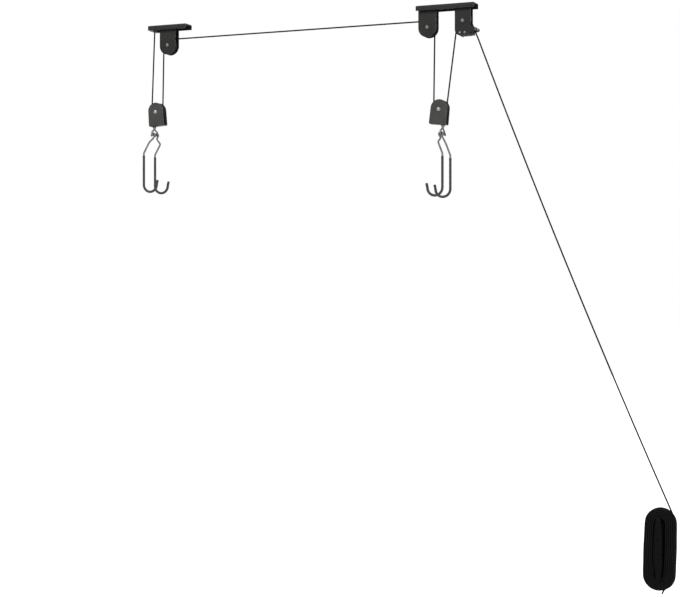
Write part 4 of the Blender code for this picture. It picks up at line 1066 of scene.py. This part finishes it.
def cam_outline():
    """The toothed cam about its pivot: hub, growing toothed edge and the tail that meets its stop."""
    outwards = Vector((-run_direction.z, 0.0, run_direction.x))
    distance = (leaving[0] - CAM_AXIS).dot(outwards) - ROPE_RADIUS - GAP
    reach = distance / math.cos(math.atan2(outwards.z, outwards.x) - CAM_TOP)
    pitch = CAM_SWEEP / CAM_TEETH

    def polar(radius, angle):
        return radius * math.cos(angle), radius * math.sin(angle)

    points = [polar(CAM_HUB * 1.05, math.radians(75.0)), polar(reach - CAM_TOOTH, CAM_TOP + pitch)]
    for i in range(CAM_TEETH):
        radius = reach + CAM_GROWTH * i / CAM_TEETH
        angle = CAM_TOP - i * pitch
        points += [polar(radius, angle), polar(radius - CAM_TOOTH, angle - pitch * 0.8)]
    points += [polar(reach + CAM_GROWTH, CAM_TOP - CAM_SWEEP), polar(CAM_HUB * 1.05, math.radians(-68.0))]
    to_stop = STOP_AXIS - CAM_AXIS
    half = math.radians(8.0)
    tail = math.atan2(to_stop.z, to_stop.x) % math.tau - math.tau
    tail += math.asin(CAM_PIN_RADIUS / to_stop.length) + CAM_TAIL_ROOM + half
    points += [polar(CAM_HUB, tail + 2.5 * half), polar(CAM_TAIL, tail + half)]
    points += [polar(CAM_TAIL, tail - half), polar(CAM_HUB, tail - 2.0 * half)]
    return points + arc(0.0, 0.0, CAM_HUB, -175, -265, 16)


def lock_cam():
    blank = prism("cam", cam_outline(), CAM_WIDTH, "Y")
    bore = hole(Vector(), CAM_BORE, THROUGH_CAM)
    made = worked("lock_cam_cut", blank, [bore], CAM_EDGE, Matrix.Translation(CAM_AXIS))
    dressed(made, "lock_cam", "lock_cam")


def wall_cleat():
    """A moulded cleat: two legs between a base plate and a tapered horn bar."""
    back, front, wall = -0.0026, -0.0116, 0.015
    horn, horn_round, half_horn = 0.077, 0.006, 0.009
    leg, inner, foot_round, half_foot = 0.031, 0.016, 0.018, 0.057
    screw_hole, screw_rise = 0.0024, 0.0235
    upper = [(0.020, 0.035), (0.0185, 0.035), (0.0168, 0.0325), (wall, leg), (back, leg), (back, horn)]
    upper += [(back - 0.004, horn), (front + 0.0012, horn - 0.006), (front, horn - 0.012)]
    lower = [(y, -z) for y, z in upper]
    profile = lower[:1] + upper + lower[:0:-1]
    blank = prism("cleat", profile, 0.036, "X")
    edge = [(half_horn, -leg), (half_horn, leg)] + arc(0.0, horn - horn_round, horn_round, 0, 180, 20)
    edge += [(-half_horn, leg), (-half_horn, -leg)] + arc(0.0, horn_round - horn, horn_round, 180, 360, 20)
    window = prism("window", [(wall, -inner), (wall, inner), (back, inner), (back, -inner)], 0.05, "X")
    base = arc(0.0, half_foot, foot_round, 0, 180, 28) + arc(0.0, -half_foot, foot_round, 180, 360, 28)
    foot = prism("foot", base, 0.006, "Y")
    foot.data.transform(Matrix.Translation((0.0, 0.021, 0.0)))
    steps = [cropped(edge, 0.1), ("DIFFERENCE", window), ("UNION", foot)]
    steps += [hole(Vector((0.0, 0.0, z)), screw_hole) for z in (-screw_rise, screw_rise)]
    made = worked("wall_cleat_moulded", blank, steps, CLEAT_EDGE, Matrix.Translation(HANK_MIDDLE))
    dressed(made, "wall_cleat", ROOT)


# The blocks, brackets, cam and cleat

for side, axle, turn, tilt, offset in (
    ("left", LEFT_AXLE, math.pi, LEFT_TILT, LEFT_HOOK_OFFSET),
    ("right", RIGHT_AXLE, 0.0, RIGHT_TILT, RIGHT_HOOK_OFFSET),
):
    about = Matrix.Rotation(turn, 4, "Z")
    block = Matrix.Translation(axle) @ about @ Matrix.Rotation(tilt, 4, "Y")
    block_shell(side, block)
    yoke(side, block)
    washer = Vector((SWIVEL_SHIFT, 0.0, STRAP_THICKNESS - BLOCK_FOOT + GAP + HALF_WASHER))
    hollow(side + "_swivel_washer", washer, STEM_RADIUS + GAP, WASHER_RADIUS, HALF_WASHER, side + "_swivel",
           0.0002, "Z", block)
    hooks = Matrix.Translation(block @ Vector((SWIVEL_SHIFT, 0.0, -YOKE_BAR_DROP))) @ about
    near = 1.0 if side == "left" else -1.0
    hook(side, "near", near, hooks, offset)
    hook(side, "far", -near, hooks, offset)

plate("left_ceiling_plate", LEFT_PLATE_MIDDLE, LEFT_PLATE_LENGTH, [LEFT_PIN], (-0.0335, 0.044))
plate("right_ceiling_plate", 0.0, RIGHT_PLATE_LENGTH, [RIGHT_PIN, LOCK_PIN], (0.035, 0.062))
pulley_housing("left_pulley_housing", LEFT_PIN)
pulley_housing("right_pulley_housing", RIGHT_PIN)
lock_housing()
lock_cam()
anchor_bar()
wall_cleat()


# The stopper knot at the rope's fixed end

KNOT_TURNS_MM = (
    ((0.0, 0.0, 0.9), (0.4, 0.2, 2.4), (2.2, 1.3, 4.6), (0.6, 2.4, 6.0), (-1.8, 1.6, 5.2),
     (-2.5, -0.4, 3.6), (-1.0, -2.3, 2.6)),
    ((-1.0, -2.3, 2.6), (1.4, -2.2, 2.5), (2.7, -0.3, 3.4), (1.2, 1.4, 5.0), (-1.0, 0.4, 5.9),
     (-1.8, -1.3, 5.8)),
    ((2.4, -1.0, 2.6), (1.2, 2.3, 2.8), (-1.4, 2.2, 2.7), (-2.6, 0.2, 2.8)),
)


def stopper_knot():
    """Three turns of rope that are melted into one tied knot."""
    merged = bmesh.new()
    for turn in KNOT_TURNS_MM:
        spots = [ROPE_FIXED + Vector(point) * MM for point in turn]
        line = resampled(smoothed(spots, 8), 0.0004)
        loop = tube("knot_turn", line, [0.0019] * len(line))
        merged.from_mesh(loop.data)
        bpy.data.objects.remove(loop)
    mesh = bpy.data.meshes.new("knot")
    merged.to_mesh(mesh)
    merged.free()
    knot = new_object("knot", mesh)
    remesh = knot.modifiers.new("melt", "REMESH")
    remesh.mode = "VOXEL"
    remesh.voxel_size = 0.00022
    remesh.use_smooth_shade = True
    made = settled("rope_end_knot_tied", knot)
    made.data.shade_smooth()
    dressed(made, "rope_end_knot", ROOT, "rope_knot")


stopper_knot()

# Stage and light


def seen_directly(tree):
    """1 for camera rays, and for those that metal and glass pass on: they see the white background."""
    path = tree.nodes.new("ShaderNodeLightPath")
    share = path.outputs["Is Camera Ray"]
    for other in ("Is Glossy Ray", "Is Transmission Ray"):
        most = tree.nodes.new("ShaderNodeMath")
        most.operation = "MAXIMUM"
        tree.links.new(share, most.inputs[0])
        tree.links.new(path.outputs[other], most.inputs[1])
        share = most.outputs[0]
    return share


def pale_floor():
    """A wide floor that takes a soft shadow. Its own glow whitens it, most of all far from the object."""
    look = Look("pale_floor", 0.9, gloss=0.0)
    far_off = look.node("VectorMath", {"operation": "LENGTH"}, Vector=look.place).outputs["Value"]
    glow = look.times(seen_directly(look.tree), look.ranged(far_off, 1.0, 5.0, 0.5, 1.0))
    shine = look.node("Emission", Strength=glow)
    added = look.node("AddShader")
    look.feed(added.inputs[0], look.shader.outputs[0])
    look.feed(added.inputs[1], shine.outputs[0])
    look.feed(look.tree.nodes["Material Output"].inputs["Surface"], added.outputs[0])
    half = FLOOR_WIDTH / 2
    corners = [(-half, -half, 0), (half, -half, 0), (half, half, 0), (-half, half, 0)]
    made = mesh_object("floor", corners, [(0, 1, 2, 3)])
    made.data.materials.append(look.end(FLOOR_COLOUR, None, None))
    made.location = (0.0, 0.0, FLOOR_HEIGHT)
    return made


pale_floor()

world = bpy.data.worlds.new("studio")
bpy.context.scene.world = world
world.use_nodes = True
tree = world.node_tree
sky = tree.nodes["Background"]
strength = tree.nodes.new("ShaderNodeMapRange")
strength.inputs["To Min"].default_value = SKY_LIGHT
strength.inputs["To Max"].default_value = 1.0
tree.links.new(seen_directly(tree), strength.inputs["Value"])
tree.links.new(strength.outputs["Result"], sky.inputs["Strength"])
sky.inputs["Color"].default_value = (1.0, 1.0, 1.0, 1.0)

for name, place, size, power, target in (
    ("key", (-2.0, -3.2, 2.6), 2.4, 150.0, (-0.2, 0.0, -0.6)),
    ("fill", (3.2, -2.8, -0.6), 2.6, 45.0, (0.0, 0.0, -0.6)),
    ("back_light", (0.6, 3.0, 1.2), 2.0, 45.0, (-0.2, 0.0, -0.6)),
):
    lamp = bpy.data.lights.new(name, "AREA")
    lamp.size = size
    lamp.energy = power
    made = new_object(name, lamp)
    made.location = place
    made.rotation_euler = (Vector(target) - Vector(place)).to_track_quat("-Z", "Y").to_euler()

bpy.context.scene.view_settings.view_transform = "Standard"
